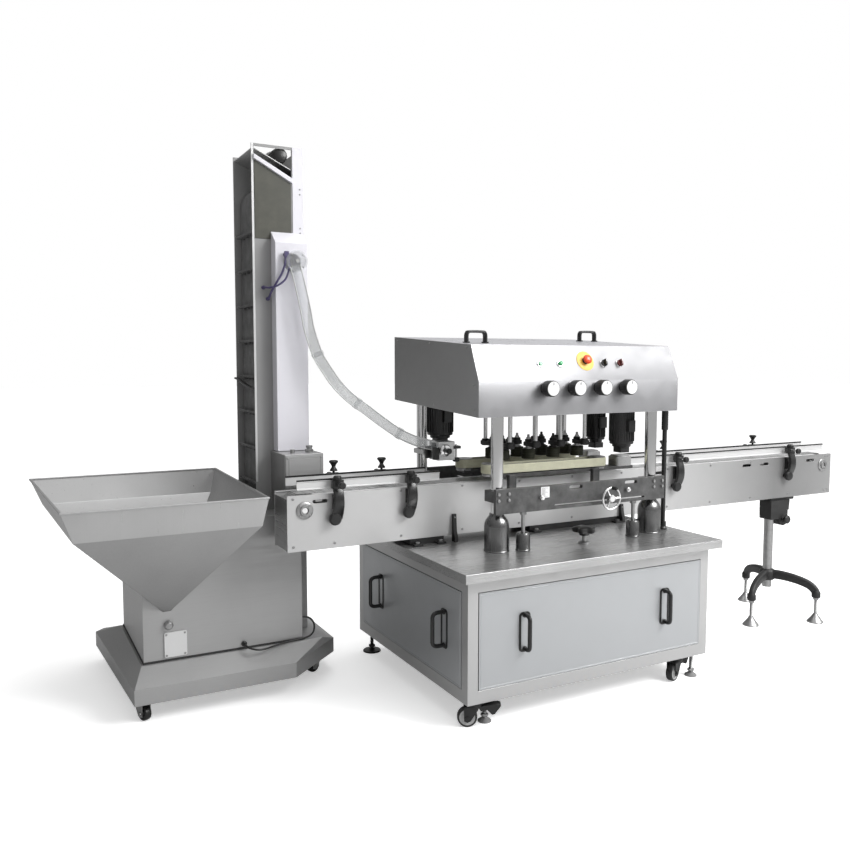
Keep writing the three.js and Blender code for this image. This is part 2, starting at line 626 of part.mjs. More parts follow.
function conveyorStand() {
  const { x, y, hub, column: radius, head, offset, pad } = STAND;
  const under = LINE.z0 - GAP;
  const top = join(
    box(x + offset - 65, x + offset + 125, CENTRE - 74, CENTRE + 74, under - 14, under),
    box(x - 28, x + offset + 70, y - 36, y + 40, head + 20, under - 12),
    box(x + offset, x + offset + 65, y - 30, y + 34, head - 18, head + 24),
  );
  const post = upright(x, y, hub - 72, head + 24, radius);
  const boss = upright(x, y, hub - 34, hub + 22, 38);
  const legs = STAND_FEET.map(([fx, fy]) => {
    const [dx, dy] = [fx - x, fy - y];
    return join(
      swept(circle(21), [[x, y, hub - 4], [x + 0.45 * dx, y + 0.45 * dy, hub - 8],
        [x + 0.85 * dx, y + 0.85 * dy, hub - 34], [fx, fy, hub - 80]], 7),
      upright(fx, fy, hub - 93, hub - 62, 21, SMALL),
      levellingFoot(fx, fy, hub - 86, pad, 46),
    );
  });
  return join(top, post, boss, ...legs);
}
put("conveyor_stand", conveyorStand(), DARK_STEEL());

// ---- cap elevator --------------------------------------------------------------------------------

function trayOutline({ x0, x1, y0, y1, splay }, inset, z) {
  const [a0, a1, b0, b1] = [x0 + inset, x1 - inset, y0 + inset, y1 - inset];
  return [[a0 + splay, b0, z], [a1 - 245, b0, z], [a1, b0 + 215, z], [a1, b1 - 170, z],
    [a1 - 170, b1, z], [a0 + 40, b1, z], [a0, b1 - 40, z]];
}

function rectangle({ x0, x1, y0, y1 }, grow, z) {
  const [a0, a1, b0, b1] = [x0 - grow, x1 + grow, y0 - grow, y1 + grow];
  return [[a0, b0, z], [a1, b0, z], [a1, b1, z], [a0, b1, z]];
}

function elevatorBase() {
  const footprint = { ...BODY, x1: MAST.x1 };
  const outer = (inset, lower, upper) => hull([
    ...trayOutline(BASE, inset, lower),
    ...trayOutline(BASE, inset, BASE.lip - inset / 2),
    ...rectangle(footprint, 12 - inset, upper),
  ]);
  return cut(
    outer(0, BASE.z0, BASE.deck),
    outer(SHEET, BASE.z0 + SHEET + 1, BASE.deck - SHEET),
    box(-820, -500, 880, 1120, BASE.z0 - 1, BASE.z0 + SHEET + 2),
  );
}
put("elevator_base", elevatorBase(), PAINT());

const ELEVATOR_CASTERS = [[-1040, 690, 25], [-275, 850, -70], [-1040, 1320, 160], [-290, 1250, 60]];
const CASTER_CORNERS = ["front_left", "front_right", "rear_left", "rear_right"];
ELEVATOR_CASTERS.forEach(([x, y, turn], i) => {
  const corner = place(x, y, 0, turn);
  put(`caster_fork_${CASTER_CORNERS[i]}`, casterFork(BASE.z0 - GAP, ELEVATOR_WHEEL), DARK_STEEL(), corner);
  put(`caster_wheel_${CASTER_CORNERS[i]}`, casterWheel(ELEVATOR_WHEEL), RUBBER(), corner);
});

function grownOutline(corners, grow, z) {
  const [frontLeft, frontRight, rearRight, rearLeft] = corners;
  return [[frontLeft[0] - grow, frontLeft[1] - grow, z], [frontRight[0] + grow, frontRight[1] - grow, z],
    [rearRight[0] + grow, rearRight[1] + grow, z], [rearLeft[0] - grow, rearLeft[1] + grow, z]];
}

function hopperVolume(grow) {
  const { z0, z1 } = HOPPER;
  const skirt = hull([...grownOutline(HOPPER_RIM, grow, z1), ...grownOutline(HOPPER_FOLD, grow, z0)]);
  const [ax, ay, az] = APEX;
  const tip = { x0: ax - 10, x1: ax + 10, y0: ay - 8, y1: ay + 52 };
  const funnel = hull([
    ...grownOutline(HOPPER_FOLD, grow, z0),
    ...rectangle(tip, Math.max(grow, -6), az - grow),
  ]);
  return join(skirt, funnel);
}

function hopper() {
  const { z1, rim } = HOPPER;
  const mouth = hull([...grownOutline(HOPPER_RIM, -rim, z1 + 5), ...grownOutline(HOPPER_RIM, -rim, z1 - 1)]);
  const inner = join(hopperVolume(-rim), mouth);
  const mast = box(MAST.x0 - 1, MAST.x1 + 1, MAST.y0 - 1, MAST.y1 + 1, 0, MAST.z1);
  const boxRoom = box(BOX.x0 - 1, BOX.x1 + 1, BOX.y0 - 1, MAST.y0, BOX.z0 - 1, COVER.z0);
  return cut(hopperVolume(0), inner, mast, boxRoom);
}
put("hopper", hopper(), STEEL());

function elevatorCabinet() {
  const { x0, x1, y0, y1, z1 } = BODY;
  const foot = BASE.deck + GAP;
  return cut(
    box(x0, x1, y0, y1, foot, z1),
    box(x0 + SHEET, x1 - SHEET, y0 + SHEET, y1 - SHEET, foot - 1, z1 - SHEET),
    hopperVolume(0.5),
    box(MAST.x0 - GAP, MAST.x1 + 1, MAST.y0 - GAP, MAST.y1 + GAP, foot - 1, z1 + 1),
  );
}
put("elevator_cabinet", elevatorCabinet(), PAINT());

// U channel, open towards the hopper; the caps leave by a gate behind the front cover
function elevatorMast() {
  const { x0, x1, y0, y1, z1 } = MAST;
  const foot = BASE.deck + GAP;
  const web = 50;
  const above = [[x0 + 12, z1 - 44], [x1 - web, z1 - 130], [x1 - web, z1 - 12], [x0 + 12, z1 - 12]];
  const strip = [[x0 + 12, z1 - 44], [x1 - web, z1 - 130], [x1 - web, z1 - 176], [x0 + 12, z1 - 88]];
  const shell = cut(
    box(x0, x1, y0, y1, foot, z1),
    box(x0 - 1, x1 - SHEET, y0 + SHEET, y1 - SHEET, foot - 1, z1 + 1),
    box(COVER.x0 + 12, COVER.x1 - 12, y0 - 1, y0 + SHEET + 1, GATE.z0, GATE.z1),
    alongY(polygon(above), y0 - 1, y0 + SHEET + 1),
  );
  const flange = alongY(polygon(strip), y0 - 14, y0 + SHEET);
  const footPlate = box(x0, x1, y0, y1, foot, foot + SHEET);
  const tailBar = bar([BELT.x, y0 + 1, BELT.z0], [BELT.x, y1 - 1, BELT.z0], BELT.radius - BELT.thick - 1);
  const bearing = bore([BELT.x, y0 - 5, BELT.z1], [BELT.x, y1 + 5, BELT.z1], 10.5);
  return cut(join(shell, footPlate, tailBar, flange), bearing);
}
put("elevator_mast", elevatorMast(), PAINT());

function mastCover() {
  const { x0, x1, y0, z0, back, front } = COVER;
  const y1 = MAST.y0 - GAP;
  const outline = (inset) => polygon([[y0 + inset, z0 - inset], [y1 + (inset ? 1 : 0), z0 - inset],
    [y1 + (inset ? 1 : 0), back - inset], [y0 + inset, front - inset]]);
  const duct = alongX(outline(0), x0, x1);
  const inside = alongX(outline(SHEET), x0 + SHEET, x1 - SHEET);
  const outlet = bar([GATE.x, y0 - 1, GATE.z], [GATE.x, y0 + SHEET + 1, GATE.z], GATE.radius - SHEET);
  const controlBox = cut(
    box(BOX.x0, BOX.x1, BOX.y0, y1, BOX.z0, z0 + SHEET),
    box(BOX.x0 + SHEET, BOX.x1 - SHEET, BOX.y0 + SHEET, y1 + 1, BOX.z0 + SHEET, z0),
  );
  return cut(join(cut(duct, inside), controlBox), outlet);
}
put("mast_cover", mastCover(), PAINT());

function cleatedBelt() {
  const { x, radius, z0, z1, thick, cleat, pitch, half } = BELT;
  const middle = (MAST.y0 + MAST.y1) / 2;
  const loop = (r) => {
    const shape = new THREE.Shape();
    shape.moveTo(x + r, z0);
    shape.lineTo(x + r, z1);
    shape.absarc(x, z1, r, 0, Math.PI, false);
    shape.lineTo(x - r, z0);
    shape.absarc(x, z0, r, Math.PI, 2 * Math.PI, false);
    return shape;
  };
  const band = cut(
    alongY(loop(radius), middle - half, middle + half, 6),
    alongY(loop(radius - thick), middle - half - 1, middle + half + 1, 6),
  );
  const count = Math.floor((z1 - z0) / pitch);
  const cleats = Array.from({ length: count }, (_, i) => z0 + (i + 0.5) * pitch).flatMap((z) => [
    box(x - radius - cleat, x - radius + 2, middle - half + 6, middle + half - 6, z, z + 4),
    box(x + radius - 2, x + radius + cleat, middle - half + 6, middle + half - 6, z, z + 4),
  ]);
  return join(band, ...cleats);
}
put("cleated_belt", cleatedBelt(), RUBBER());

function beltRoller() {
  const half = BELT.half - 2;
  const out = (MAST.y1 - MAST.y0) / 2 - 1;
  return join(
    bar([0, -half, 0], [0, half, 0], BELT.radius - BELT.thick - 0.6, ROUND),
    bar([0, -out, 0], [0, out, 0], 10, SMALL),
  );
}
put("belt_drive_roller", beltRoller(), STEEL(), place(BELT.x, (MAST.y0 + MAST.y1) / 2, BELT.z1));

// slanted hood over the top roller, which turns the caps down the far side, with the gear motor on it
function slantedHood() {
  const { x0, x1, y0, y1, z1 } = MAST;
  const right = x1 - SHEET - GAP;
  const outline = polygon([[x0 + 8, z1 - 14], [x0 + 8, z1 - 18], [right, z1 - 116], [right, z1 - 112]]);
  return alongY(outline, y0 + SHEET + GAP, y1 - SHEET - GAP);
}

function driveMotor() {
  const y = MAST.y0 + SHEET + GAP;
  const [x, z] = [BELT.x + 39, MAST.z1 - 50];
  const gearbox = box(x - 34, x + 34, y + 70, y + 150, z - 22, z + 42);
  const motor = bar([x, y + 6, z + 16], [x, y + 74, z + 16], 30);
  return join(gearbox, motor);
}
put("discharge_hood", join(slantedHood(), driveMotor()), DARK_STEEL());

// clear cap chute from the cover's outlet down to the placing block over the line, and the block's post
function capChute() {
  const section = (half, deep) => polygon([[-half, -deep], [half, -deep], [half, deep], [-half, deep]]);
  const [ex, ey, ez] = CHUTE_END;
  const { x, z, radius } = GATE;
  const [front, back] = [COVER.y0 - 68, COVER.y0 - GAP];
  const solidPart = join(
    swept(section(20, 28), CHUTE_ROUTE, 20),
    bar([x, front, z], [x, back, z], radius),
    box(ex - 30, ex + 50, ey - 40, ey + 40, 945, ez + 24),
    box(ex - 60, ex + 70, ey + 30, ey + 130, 965, 985),
    upright(ex - 20, ey + 118, TABLE.z1 + GAP, 1000, 12, SMALL),
  );
  return cut(
    solidPart,
    swept(section(17, 25), CHUTE_ROUTE, 20),
    bar([x, front + SHEET, z], [x, back + 1, z], radius - SHEET),
    box(ex - 22, ex + 34, ey - 26, ey + 26, 944, ez + 16),
  );
}
put("cap_chute", capChute(), CLEAR());

// ---- origin at the middle of the footprint -------------------------------------------------------

machine.updateMatrixWorld(true);
const extent = new THREE.Box3().setFromObject(machine);
const middle = extent.getCenter(new THREE.Vector3());
machine.position.set(-middle.x, -middle.y, -extent.min.z);

export default machine;
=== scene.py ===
"""Looks for an in-line capping machine with a cap elevator, a slat conveyor and a conveyor stand.

Shapes are drawn in millimetres from the plan corner of the main cabinet on the floor, +X along the
conveyor and +Z up, and are moved into the frame, in metres, as each piece is made.
"""

from math import atan2, cos, pi, radians, sin, sqrt

import bmesh
import bpy
from mathutils import Matrix, Vector


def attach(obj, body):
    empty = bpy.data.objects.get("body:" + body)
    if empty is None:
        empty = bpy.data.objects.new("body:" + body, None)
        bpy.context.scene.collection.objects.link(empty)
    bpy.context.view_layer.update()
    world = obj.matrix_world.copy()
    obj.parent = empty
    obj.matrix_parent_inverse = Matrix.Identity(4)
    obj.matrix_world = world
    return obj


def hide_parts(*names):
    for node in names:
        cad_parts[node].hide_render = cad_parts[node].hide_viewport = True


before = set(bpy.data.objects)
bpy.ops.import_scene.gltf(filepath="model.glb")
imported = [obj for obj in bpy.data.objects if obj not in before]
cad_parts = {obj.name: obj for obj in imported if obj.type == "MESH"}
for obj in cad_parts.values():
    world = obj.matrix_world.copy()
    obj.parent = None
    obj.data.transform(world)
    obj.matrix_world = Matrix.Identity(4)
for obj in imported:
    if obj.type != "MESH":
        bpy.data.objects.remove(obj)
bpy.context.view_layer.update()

SHIFT = Vector((625.0, 702.5, 0.0))
TAU = 2 * pi
X, Y, Z = Vector((1, 0, 0)), Vector((0, 1, 0)), Vector((0, 0, 1))

# ---- camera --------------------------------------------------------------------------------------

camera = bpy.data.objects.new("camera", bpy.data.cameras.new("camera"))
bpy.context.scene.collection.objects.link(camera)
camera.data.sensor_width = 36.0
camera.data.lens = 35.11
camera.location = (Vector((-1509.7, -2540.1, 1370.0)) - SHIFT) / 1000
camera.rotation_euler = (radians(90 - 4.5), 0, radians(-27.7))
bpy.context.scene.camera = camera
bpy.context.scene.view_settings.view_transform = "Standard"

# ---- materials -----------------------------------------------------------------------------------


def srgb(value):
    """A linear colour from 0 to 255 screen values."""
    parts = [value] * 3 if isinstance(value, (int, float)) else value
    return [((c / 255 + 0.055) / 1.055) ** 2.4 if c > 10 else c / 255 / 12.92 for c in parts]


def add_node(tree, kind, values=(), **settings):
    """A node with some inputs set to values or linked to sockets, by name or number."""
    node = tree.nodes.new("ShaderNode" + kind)
    for key, value in settings.items():
        setattr(node, key, value)
    for key, value in dict(values).items():
        if isinstance(value, bpy.types.NodeSocket):
            tree.links.new(value, node.inputs[key])
        else:
            node.inputs[key].default_value = value
    return node


def color_ramp(tree, value, stops):
    """The colour at value between stops of (position, colour)."""
    node = add_node(tree, "ValToRGB", {"Fac": value})
    elements = node.color_ramp.elements
    elements[0].position, elements[1].position = stops[0][0], stops[-1][0]
    for position, _ in stops[1:-1]:
        elements.new(position)
    for element, (_, color) in zip(elements, stops):
        element.color = [*color, 1.0]
    return node.outputs["Color"]


class Nodes:
    """A material's node tree, with short calls for the nodes that this scene uses."""

    def __init__(self, name):
        self.material = bpy.data.materials.new(name)
        self.material.use_nodes = True
        self.tree = self.material.node_tree
        self.shader = self.tree.nodes["Principled BSDF"]
        self.coords = self.node("TexCoord").outputs["Object"]

    def node(self, kind, values=(), **settings):
        return add_node(self.tree, kind, values, **settings)

    def set(self, **values):
        """Sets or links the shader's inputs, an underscore for each space."""
        for key, value in values.items():
            socket = self.shader.inputs[key.replace("_", " ")]
            if isinstance(value, bpy.types.NodeSocket):
                self.tree.links.new(value, socket)
            else:
                socket.default_value = value

    def noise(self, scale, detail=4.0, rough=0.55):
        """Noise at scale in cycles per metre: one number, or three for streaks."""
        scales = [scale] * 3 if isinstance(scale, (int, float)) else scale
        mapping = self.node("Mapping", {"Scale": scales, "Vector": self.coords})
        values = {"Scale": 1.0, "Detail": detail, "Roughness": rough, "Vector": mapping.outputs["Vector"]}
        return self.node("TexNoise", values).outputs["Fac"]

    def cells(self, scale):
        return self.node("TexVoronoi", {"Scale": scale, "Vector": self.coords}).outputs["Distance"]

    def remap(self, value, low, high, start=0.3, end=0.7):
        values = {"Value": value, "From Min": start, "From Max": end, "To Min": low, "To Max": high}
        return self.node("MapRange", values).outputs["Result"]

    def ramp(self, value, stops):
        return color_ramp(self.tree, value, stops)

    def painted_shade_along_x(self, color, stops):
        """A colour with painted shade along the machine, darker or lighter by factors at given X in metres.
        """
        split = self.node("SeparateXYZ", {"Vector": self.coords})
        start, end = stops[0][0], stops[-1][0]
        place = self.remap(split.outputs["X"], 0.0, 1.0, start, end)
        factor = self.ramp(place, [((x - start) / (end - start), [f, f, f]) for x, f in stops])
        return self.node("VectorMath", {0: color, 1: factor}, operation="MULTIPLY").outputs["Vector"]

    def bump(self, height, strength, distance):
        values = {"Strength": strength, "Distance": distance, "Height": height}
        self.set(Normal=self.node("Bump", values).outputs["Normal"])


# Painted shade: how the colour of some steels falls off along the machine, factors at given X in metres.
PAINTED_SHADES = {
    "casing_slant": [(-0.47, 1.0), (-0.25, 0.92), (-0.02, 0.64), (0.1, 0.46), (0.4, 0.43), (0.57, 0.46)],
    "line_side": [(-1.15, 0.78), (-0.7, 0.88), (0.6, 0.8), (0.98, 0.68), (1.245, 0.53), (1.545, 0.33),
                  (1.735, 0.38), (2.0, 0.47)],
}


TOOTH_DEPTH = 0.0004


def surface(name, color, rough, metal, spread, patch, tooth, bump, coat=0.0, pebbled=False):
    """A surface whose colour and gloss vary in soft patches, with a fine tooth or streaks, and for some a
    painted shade along X.
    """
    n = Nodes(name)
    base = srgb(color)
    dark, light = [c * (1 - spread) for c in base], [min(1.0, c * (1 + spread)) for c in base]
    tint = n.ramp(n.noise(patch, 5.0), [(0.3, dark), (0.52, base), (0.72, light)])
    # Finishes in the painted shade table get their colour darkened along X: painted shade.
    if name in PAINTED_SHADES:
        tint = n.painted_shade_along_x(tint, PAINTED_SHADES[name])
    n.set(Base_Color=tint, Metallic=metal, Coat_Weight=coat, Coat_Roughness=0.12)
    if isinstance(tooth, tuple):
        streaks = n.noise(tooth, 3.0, 0.7)
        n.set(Roughness=n.remap(streaks, rough * 0.75, rough * 1.3))
        n.bump(streaks, bump, TOOTH_DEPTH)
    else:
        n.set(Roughness=n.remap(n.noise(patch * 9, 6.0), rough * 0.85, rough * 1.2))
        n.bump(n.cells(tooth) if pebbled else n.noise(tooth, 2.0), bump, TOOTH_DEPTH)
    return n.material


def clear_plastic():
    n = Nodes("clear")
    base = srgb((236, 238, 239))
    tint = n.ramp(n.noise(6.0), [(0.3, [c * 0.94 for c in base]), (0.7, base)])
    n.set(Base_Color=tint, Roughness=n.remap(n.noise(40.0), 0.084, 0.156), Transmission_Weight=0.7, IOR=1.2,
          Alpha=0.34)
    n.bump(n.noise(25.0), 0.05, 0.0006)
    return n.material


ALONG_X, ALONG_Y, ALONG_Z = (3, 260, 260), (260, 3, 260), (260, 260, 3)
# Each finish: colour, roughness, metal, colour spread, patches per metre, tooth per metre or streaks by
# axis, bump, and where it has them a coat and a pebbled tooth.
FINISHES = {
    "cabinet": (180, 0.34, 0.6, 0.02, 1.6, 700, 0.02),
    "panel": ((171, 173, 175), 0.34, 0.5, 0.02, 1.4, 700, 0.01),
    "table": (176, 0.3, 0.85, 0.1, 5, ALONG_X, 0.06),
    "casing": ((206, 206, 210), 0.3, 0.7, 0.03, 1.8, 900, 0.03),
    # casing_slant, casing_front and casing_side are copies of the casing steel for painted shade: the lower
    # front and the ends darker, the slant darker along X.
    "casing_slant": ((206, 206, 209), 0.42, 0.2, 0.03, 1.8, 900, 0.03),
    "casing_front": ((148, 148, 150), 0.34, 0.6, 0.05, 1.8, 900, 0.03),
    "casing_side": (150, 0.34, 0.7, 0.03, 1.8, 900, 0.03),
    "chrome": (225, 0.1, 1, 0.03, 6, 700, 0.02),
    "steel": (186, 0.3, 0.9, 0.06, 3, ALONG_X, 0.12),
    "steel_y": (180, 0.32, 0.9, 0.06, 4, ALONG_Y, 0.12),
    "steel_z": (180, 0.32, 0.9, 0.06, 4, ALONG_Z, 0.12),
    "zinc": (158, 0.36, 0.95, 0.12, 60, 300, 0.15),
    "line": (208, 0.36, 0.4, 0.04, 2.4, 900, 0.04),
    # line_side is the line steel with painted shade along X, for the conveyor's side plates.
    "line_side": (208, 0.36, 0.4, 0.05, 2.4, 900, 0.04),
    # A darker copy of the hopper steel for its downward faces: painted shade.
    "hopper_painted_shade": (152, 0.38, 0.7, 0.1, 2, (180, 180, 5), 0.12),
    "hopper": (176, 0.36, 0.75, 0.07, 2.4, (180, 180, 5), 0.12),
    "elevator": (160, 0.4, 0.5, 0.05, 1.8, (6, 220, 220), 0.08),
    "mast": (142, 0.45, 0.15, 0.07, 3, 800, 0.06),
    "cover": ((214, 213, 219), 0.4, 0.05, 0.03, 2, 800, 0.05, 0.1),
    "dark_paint": (84, 0.38, 0.35, 0.34, 26, 600, 0.12),
    "cast": (30, 0.5, 0.1, 0.3, 30, 500, 0.25, 0, True),
    "black": (22, 0.36, 0, 0.25, 40, 1400, 0.12, 0, True),
    "gloss_black": (14, 0.3, 0, 0.2, 20, 900, 0.03, 0.2),
    "elevator_belt": (96, 0.6, 0, 0.3, 22, 1200, 0.2, 0, True),
    "olive_rubber": ((44, 46, 30), 0.62, 0, 0.3, 60, 1200, 0.2, 0, True),
    "grey_rubber": (122, 0.6, 0, 0.12, 40, 1000, 0.15, 0, True),
    "belt": ((204, 203, 180), 0.6, 0, 0.07, 30, 1100, 0.2, 0, True),
    "white_plastic": (226, 0.4, 0, 0.04, 12, 900, 0.05),
    "motor": (16, 0.34, 0.2, 0.3, 20, 700, 0.1, 0.2),
    "motor_grey": (62, 0.4, 0.3, 0.2, 20, 700, 0.1),
    "red": ((226, 74, 30), 0.3, 0, 0.08, 40, 900, 0.04, 0.4),
    "yellow": ((236, 196, 92), 0.42, 0, 0.05, 30, 900, 0.05),
    "green": ((52, 148, 92), 0.26, 0, 0.1, 40, 900, 0.04, 0.5),
    "dark_red": ((92, 26, 22), 0.32, 0, 0.15, 40, 900, 0.05, 0.3),
    "window": ((66, 66, 57), 0.4, 0, 0.16, 26, 700, 0.05, 0.15),
    "hub": (178, 0.4, 0, 0.06, 20, 900, 0.05),
    "rod": (224, 0.22, 0.6, 0.05, 9, (60, 60, 900), 0.04),
    "hose": ((70, 62, 104), 0.35, 0, 0.1, 20, 900, 0.05, 0.3),
    "bottle": (118, 0.24, 1, 0.2, 9, (60, 60, 3), 0.05),
    "chute_rim": (196, 0.3, 0, 0.05, 12, 900, 0.05),
    "groove": (40, 0.7, 0, 0.2, 20, 700, 0.05),
}
M = {name: surface(name, *row) for name, row in FINISHES.items()}
M["clear"] = clear_plastic()

# ---- shapes --------------------------------------------------------------------------------------


def axes_for(axis):
    """Two directions that complete axis to a right-handed frame."""
    axis = Vector(axis).normalized()
    side = Z if abs(axis.z) < 0.9 else X
    u = (side.cross(axis)).normalized()
    return u, axis.cross(u), axis


def rounded(u0, u1, v0, v1, radius, steps=5):
    """A rectangle with round corners, anticlockwise, its limits in either order."""
    (u0, u1), (v0, v1) = sorted((u0, u1)), sorted((v0, v1))
    corners = [(u1 - radius, v1 - radius, 0), (u0 + radius, v1 - radius, 1),
               (u0 + radius, v0 + radius, 2), (u1 - radius, v0 + radius, 3)]
    points = []
    for cu, cv, quarter in corners:
        for i in range(steps + 1):
            a = (quarter + i / steps) * TAU / 4
            points.append((cu + radius * cos(a), cv + radius * sin(a)))
    return points


def turns(count, start=0.0):
    """Angles evenly round a circle, the first of them start steps on."""
    return [(k + start) * TAU / count for k in range(count)]


def circle(radius, sides, cu=0.0, cv=0.0):
    return [(cu + radius * cos(a), cv + radius * sin(a)) for a in turns(sides)]


def rect(x0, x1, y0, y1):
    return [(x0, y0), (x1, y0), (x1, y1), (x0, y1)]


def smooth_path(points, steps=6):
    """A Catmull-Rom curve through the points."""
    pts = [Vector(p) for p in points]
    pts = [pts[0] * 2 - pts[1], *pts, pts[-1] * 2 - pts[-2]]
    out = []
    for p0, p1, p2, p3 in zip(pts, pts[1:], pts[2:], pts[3:]):
        for t in (k / steps for k in range(steps)):
            out.append(0.5 * ((2 * p1) + (p2 - p0) * t + (2 * p0 - 5 * p1 + 4 * p2 - p3) * t * t
                              + (3 * p1 - p0 - 3 * p2 + p3) * t ** 3))
    return out + [pts[-2]]


class Shape:
    """Vertices and faces in millimetres, each face with the index of its material."""

    def __init__(self):
        self.verts, self.faces, self.slots = [], [], []

    def add(self, verts, faces, slot=0):
        base = len(self.verts)
        self.verts += [Vector(v) for v in verts]
        self.faces += [[base + i for i in f] for f in faces]
        self.slots += [slot] * len(faces)
        return self

    def loft(self, loops, slot=0, ends=True, around=False):
        """Skin between loops of equal length; around joins the last loop to the first."""
        n = len(loops[0])
        verts = [p for loop in loops for p in loop]
        faces = []
        for k in range(len(loops) if around else len(loops) - 1):
            a, b = k * n, ((k + 1) % len(loops)) * n
            faces += [[a + i, a + (i + 1) % n, b + (i + 1) % n, b + i] for i in range(n)]
        if ends and not around:
            faces += [list(range(n))[::-1], [len(verts) - n + i for i in range(n)]]
        return self.add(verts, faces, slot)

    def box(self, x0, x1, y0, y1, z0, z1, slot=0):
        """A block, its limits in either order."""
        ring = rect(*sorted((x0, x1)), *sorted((y0, y1)))
        return self.loft([[(x, y, z) for x, y in ring] for z in sorted((z0, z1))], slot)

    def prism(self, outline, axis, a0, a1, slot=0, hole=None):
        """An outline drawn out along an axis: (y, z) along x, (x, z) along y, (x, y) along z."""
        def put(loop, a):
            order = {"x": lambda u, v: (a, u, v), "y": lambda u, v: (u, a, v), "z": lambda u, v: (u, v, a)}
            return [order[axis](u, v) for u, v in loop]
        if hole is None:
            return self.loft([put(outline, a0), put(outline, a1)], slot)
        return self.loft([put(outline, a0), put(outline, a1), put(hole, a1), put(hole, a0)], slot,
                         around=True)

    def border(self, u0, u1, v0, v1, axis, a0, a1, wide):
        """A rectangular frame that goes inwards by wide."""
        inside = rect(u0 + wide, u1 - wide, v0 + wide, v1 - wide)
        return self.prism(rect(u0, u1, v0, v1), axis, a0, a1, hole=inside)

    def turned(self, profile, origin=(0, 0, 0), axis=Z, slot=0, sides=32, bore=0):
        """A profile of (radius, height) pairs turned about axis, closed inwards to it or to a bore."""
        profile = list(profile)
        if profile[0][0] != bore:
            profile.insert(0, (bore, profile[0][1]))
        if profile[-1][0] != bore:
            profile.append((bore, profile[-1][1]))
        u, v, w = axes_for(axis)
        origin = Vector(origin)
        loops = []
        for radius, height in profile:
            centre = origin + w * height
            loops.append([centre + (u * cos(a) + v * sin(a)) * max(radius, 0.01) for a in turns(sides)])
        return self.loft(loops, slot, around=bore > 0)

    def rod(self, a, b, radius, slot=0, sides=24):
        a, b = Vector(a), Vector(b)
        length = (b - a).length
        e = min(1.0, radius * 0.2)
        profile = [(radius - e, 0), (radius, e), (radius, length - e), (radius - e, length)]
        return self.turned(profile, a, b - a, slot, sides)

    def tube(self, path, section, slot=0, closed=False, up=Z):
        """A section swept along a path: a radius, or (across, up) points kept level against up."""
        pts = [Vector(p) for p in path]
        if isinstance(section, (int, float)):
            section = circle(section, 14)
        loops, count = [], len(pts)
        for i, p in enumerate(pts):
            before = pts[i - 1] if closed or i > 0 else p
            after = pts[(i + 1) % count] if closed or i + 1 < count else p
            along = (after - before).normalized()
            across = along.cross(up)
            if across.length < 1e-3:
                across = along.cross(Y)
            across.normalize()
            top = across.cross(along)
            loops.append([p + across * s + top * t for s, t in section])
        return self.loft(loops, slot, around=closed)

    def nut(self, origin, axis, across, height, slot=0):
        r = across / sqrt(3)
        profile = [(r, 0), (r, height - 1), (r - 1.2, height)]
        return self.turned(profile, origin, axis, slot, 6)

    def screw(self, origin, axis, radius=4.5, slot=0):
        """A round button head with a socket."""
        profile = [(radius, 0), (radius, 0.8), (radius * 0.8, 2.4), (radius * 0.45, 2.9),
                   (radius * 0.4, 1.4)]
        return self.turned(profile, origin, axis, slot, 14)

    def moved(self, matrix):
        self.verts = [matrix @ v for v in self.verts]
        return self

    def merge(self, other):
        base = len(self.verts)
        self.verts += other.verts
        self.faces += [[base + i for i in f] for f in other.faces]
        self.slots += other.slots
        return self


def build_mesh(name, shape, shift=SHIFT):
    mesh = bpy.data.meshes.new(name)
    mesh.from_pydata([(v - shift) * 0.001 for v in shape.verts], [], shape.faces)
    bm = bmesh.new()
    bm.from_mesh(mesh)
    for face, slot in zip(bm.faces, shape.slots):
        face.material_index = slot
    bmesh.ops.remove_doubles(bm, verts=bm.verts, dist=1e-6)
    bmesh.ops.recalc_face_normals(bm, faces=bm.faces)
    bm.to_mesh(mesh)
    bm.free()
    return mesh


def carve(shape, *cutters):
    """The shape with the cutters' volumes taken away."""
    def temp(s):
        obj = bpy.data.objects.new("cut", build_mesh("cut", s, Vector()))
        bpy.context.scene.collection.objects.link(obj)
        return obj
    body = temp(shape)
    tools = [temp(c) for c in cutters]
    for tool in tools:
        modifier = body.modifiers.new("cut", "BOOLEAN")
        modifier.operation = "DIFFERENCE"
        modifier.solver = "EXACT"
        modifier.object = tool
    bpy.context.view_layer.update()
    mesh = body.evaluated_get(bpy.context.evaluated_depsgraph_get()).to_mesh()
    out = Shape()
    out.verts = [v.co * 1000 for v in mesh.vertices]
    out.faces = [list(p.vertices) for p in mesh.polygons]
    out.slots = [min(p.material_index, max(shape.slots)) for p in mesh.polygons]
    for obj in [body, *tools]:
        bpy.data.objects.remove(obj)
    return out


def piece(name, shape, body, materials, bevel=0.0, replaces=(), angle=32, segments=2):
    """Makes a piece from a shape, lets it ride on a body and stand for CAD nodes."""
    mesh = build_mesh(name, shape)
    for key in [materials] if isinstance(materials, str) else materials:
        mesh.materials.append(M[key])
    mesh.polygons.foreach_set("use_smooth", [True] * len(mesh.polygons))
    mesh.set_sharp_from_angle(angle=radians(angle))
    obj = bpy.data.objects.new(name, mesh)
    bpy.context.scene.collection.objects.link(obj)
    if bevel:
        modifier = obj.modifiers.new("edges", "BEVEL")
        modifier.width = bevel / 1000
        modifier.segments = segments
        modifier.limit_method = "ANGLE"
        modifier.angle_limit = radians(35)
        modifier.harden_normals = True
    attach(obj, body)
    if replaces:
        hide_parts(*([replaces] if isinstance(replaces, str) else replaces))
    return obj


def paint(obj, rule):
    """Gives each face the material whose index the rule makes of its normal; here that paints shade, giving
    faces darker copies of a material by the way they face.
    """
    for face in obj.data.polygons:
        face.material_index = rule(face.normal)


# ---- main cabinet --------------------------------------------------------------------------------

ROOT = "machine"
W, D, Z0, Z1, BORDER = 1200, 1000, 100, 600, 45
PANEL_Z = (150, 520)

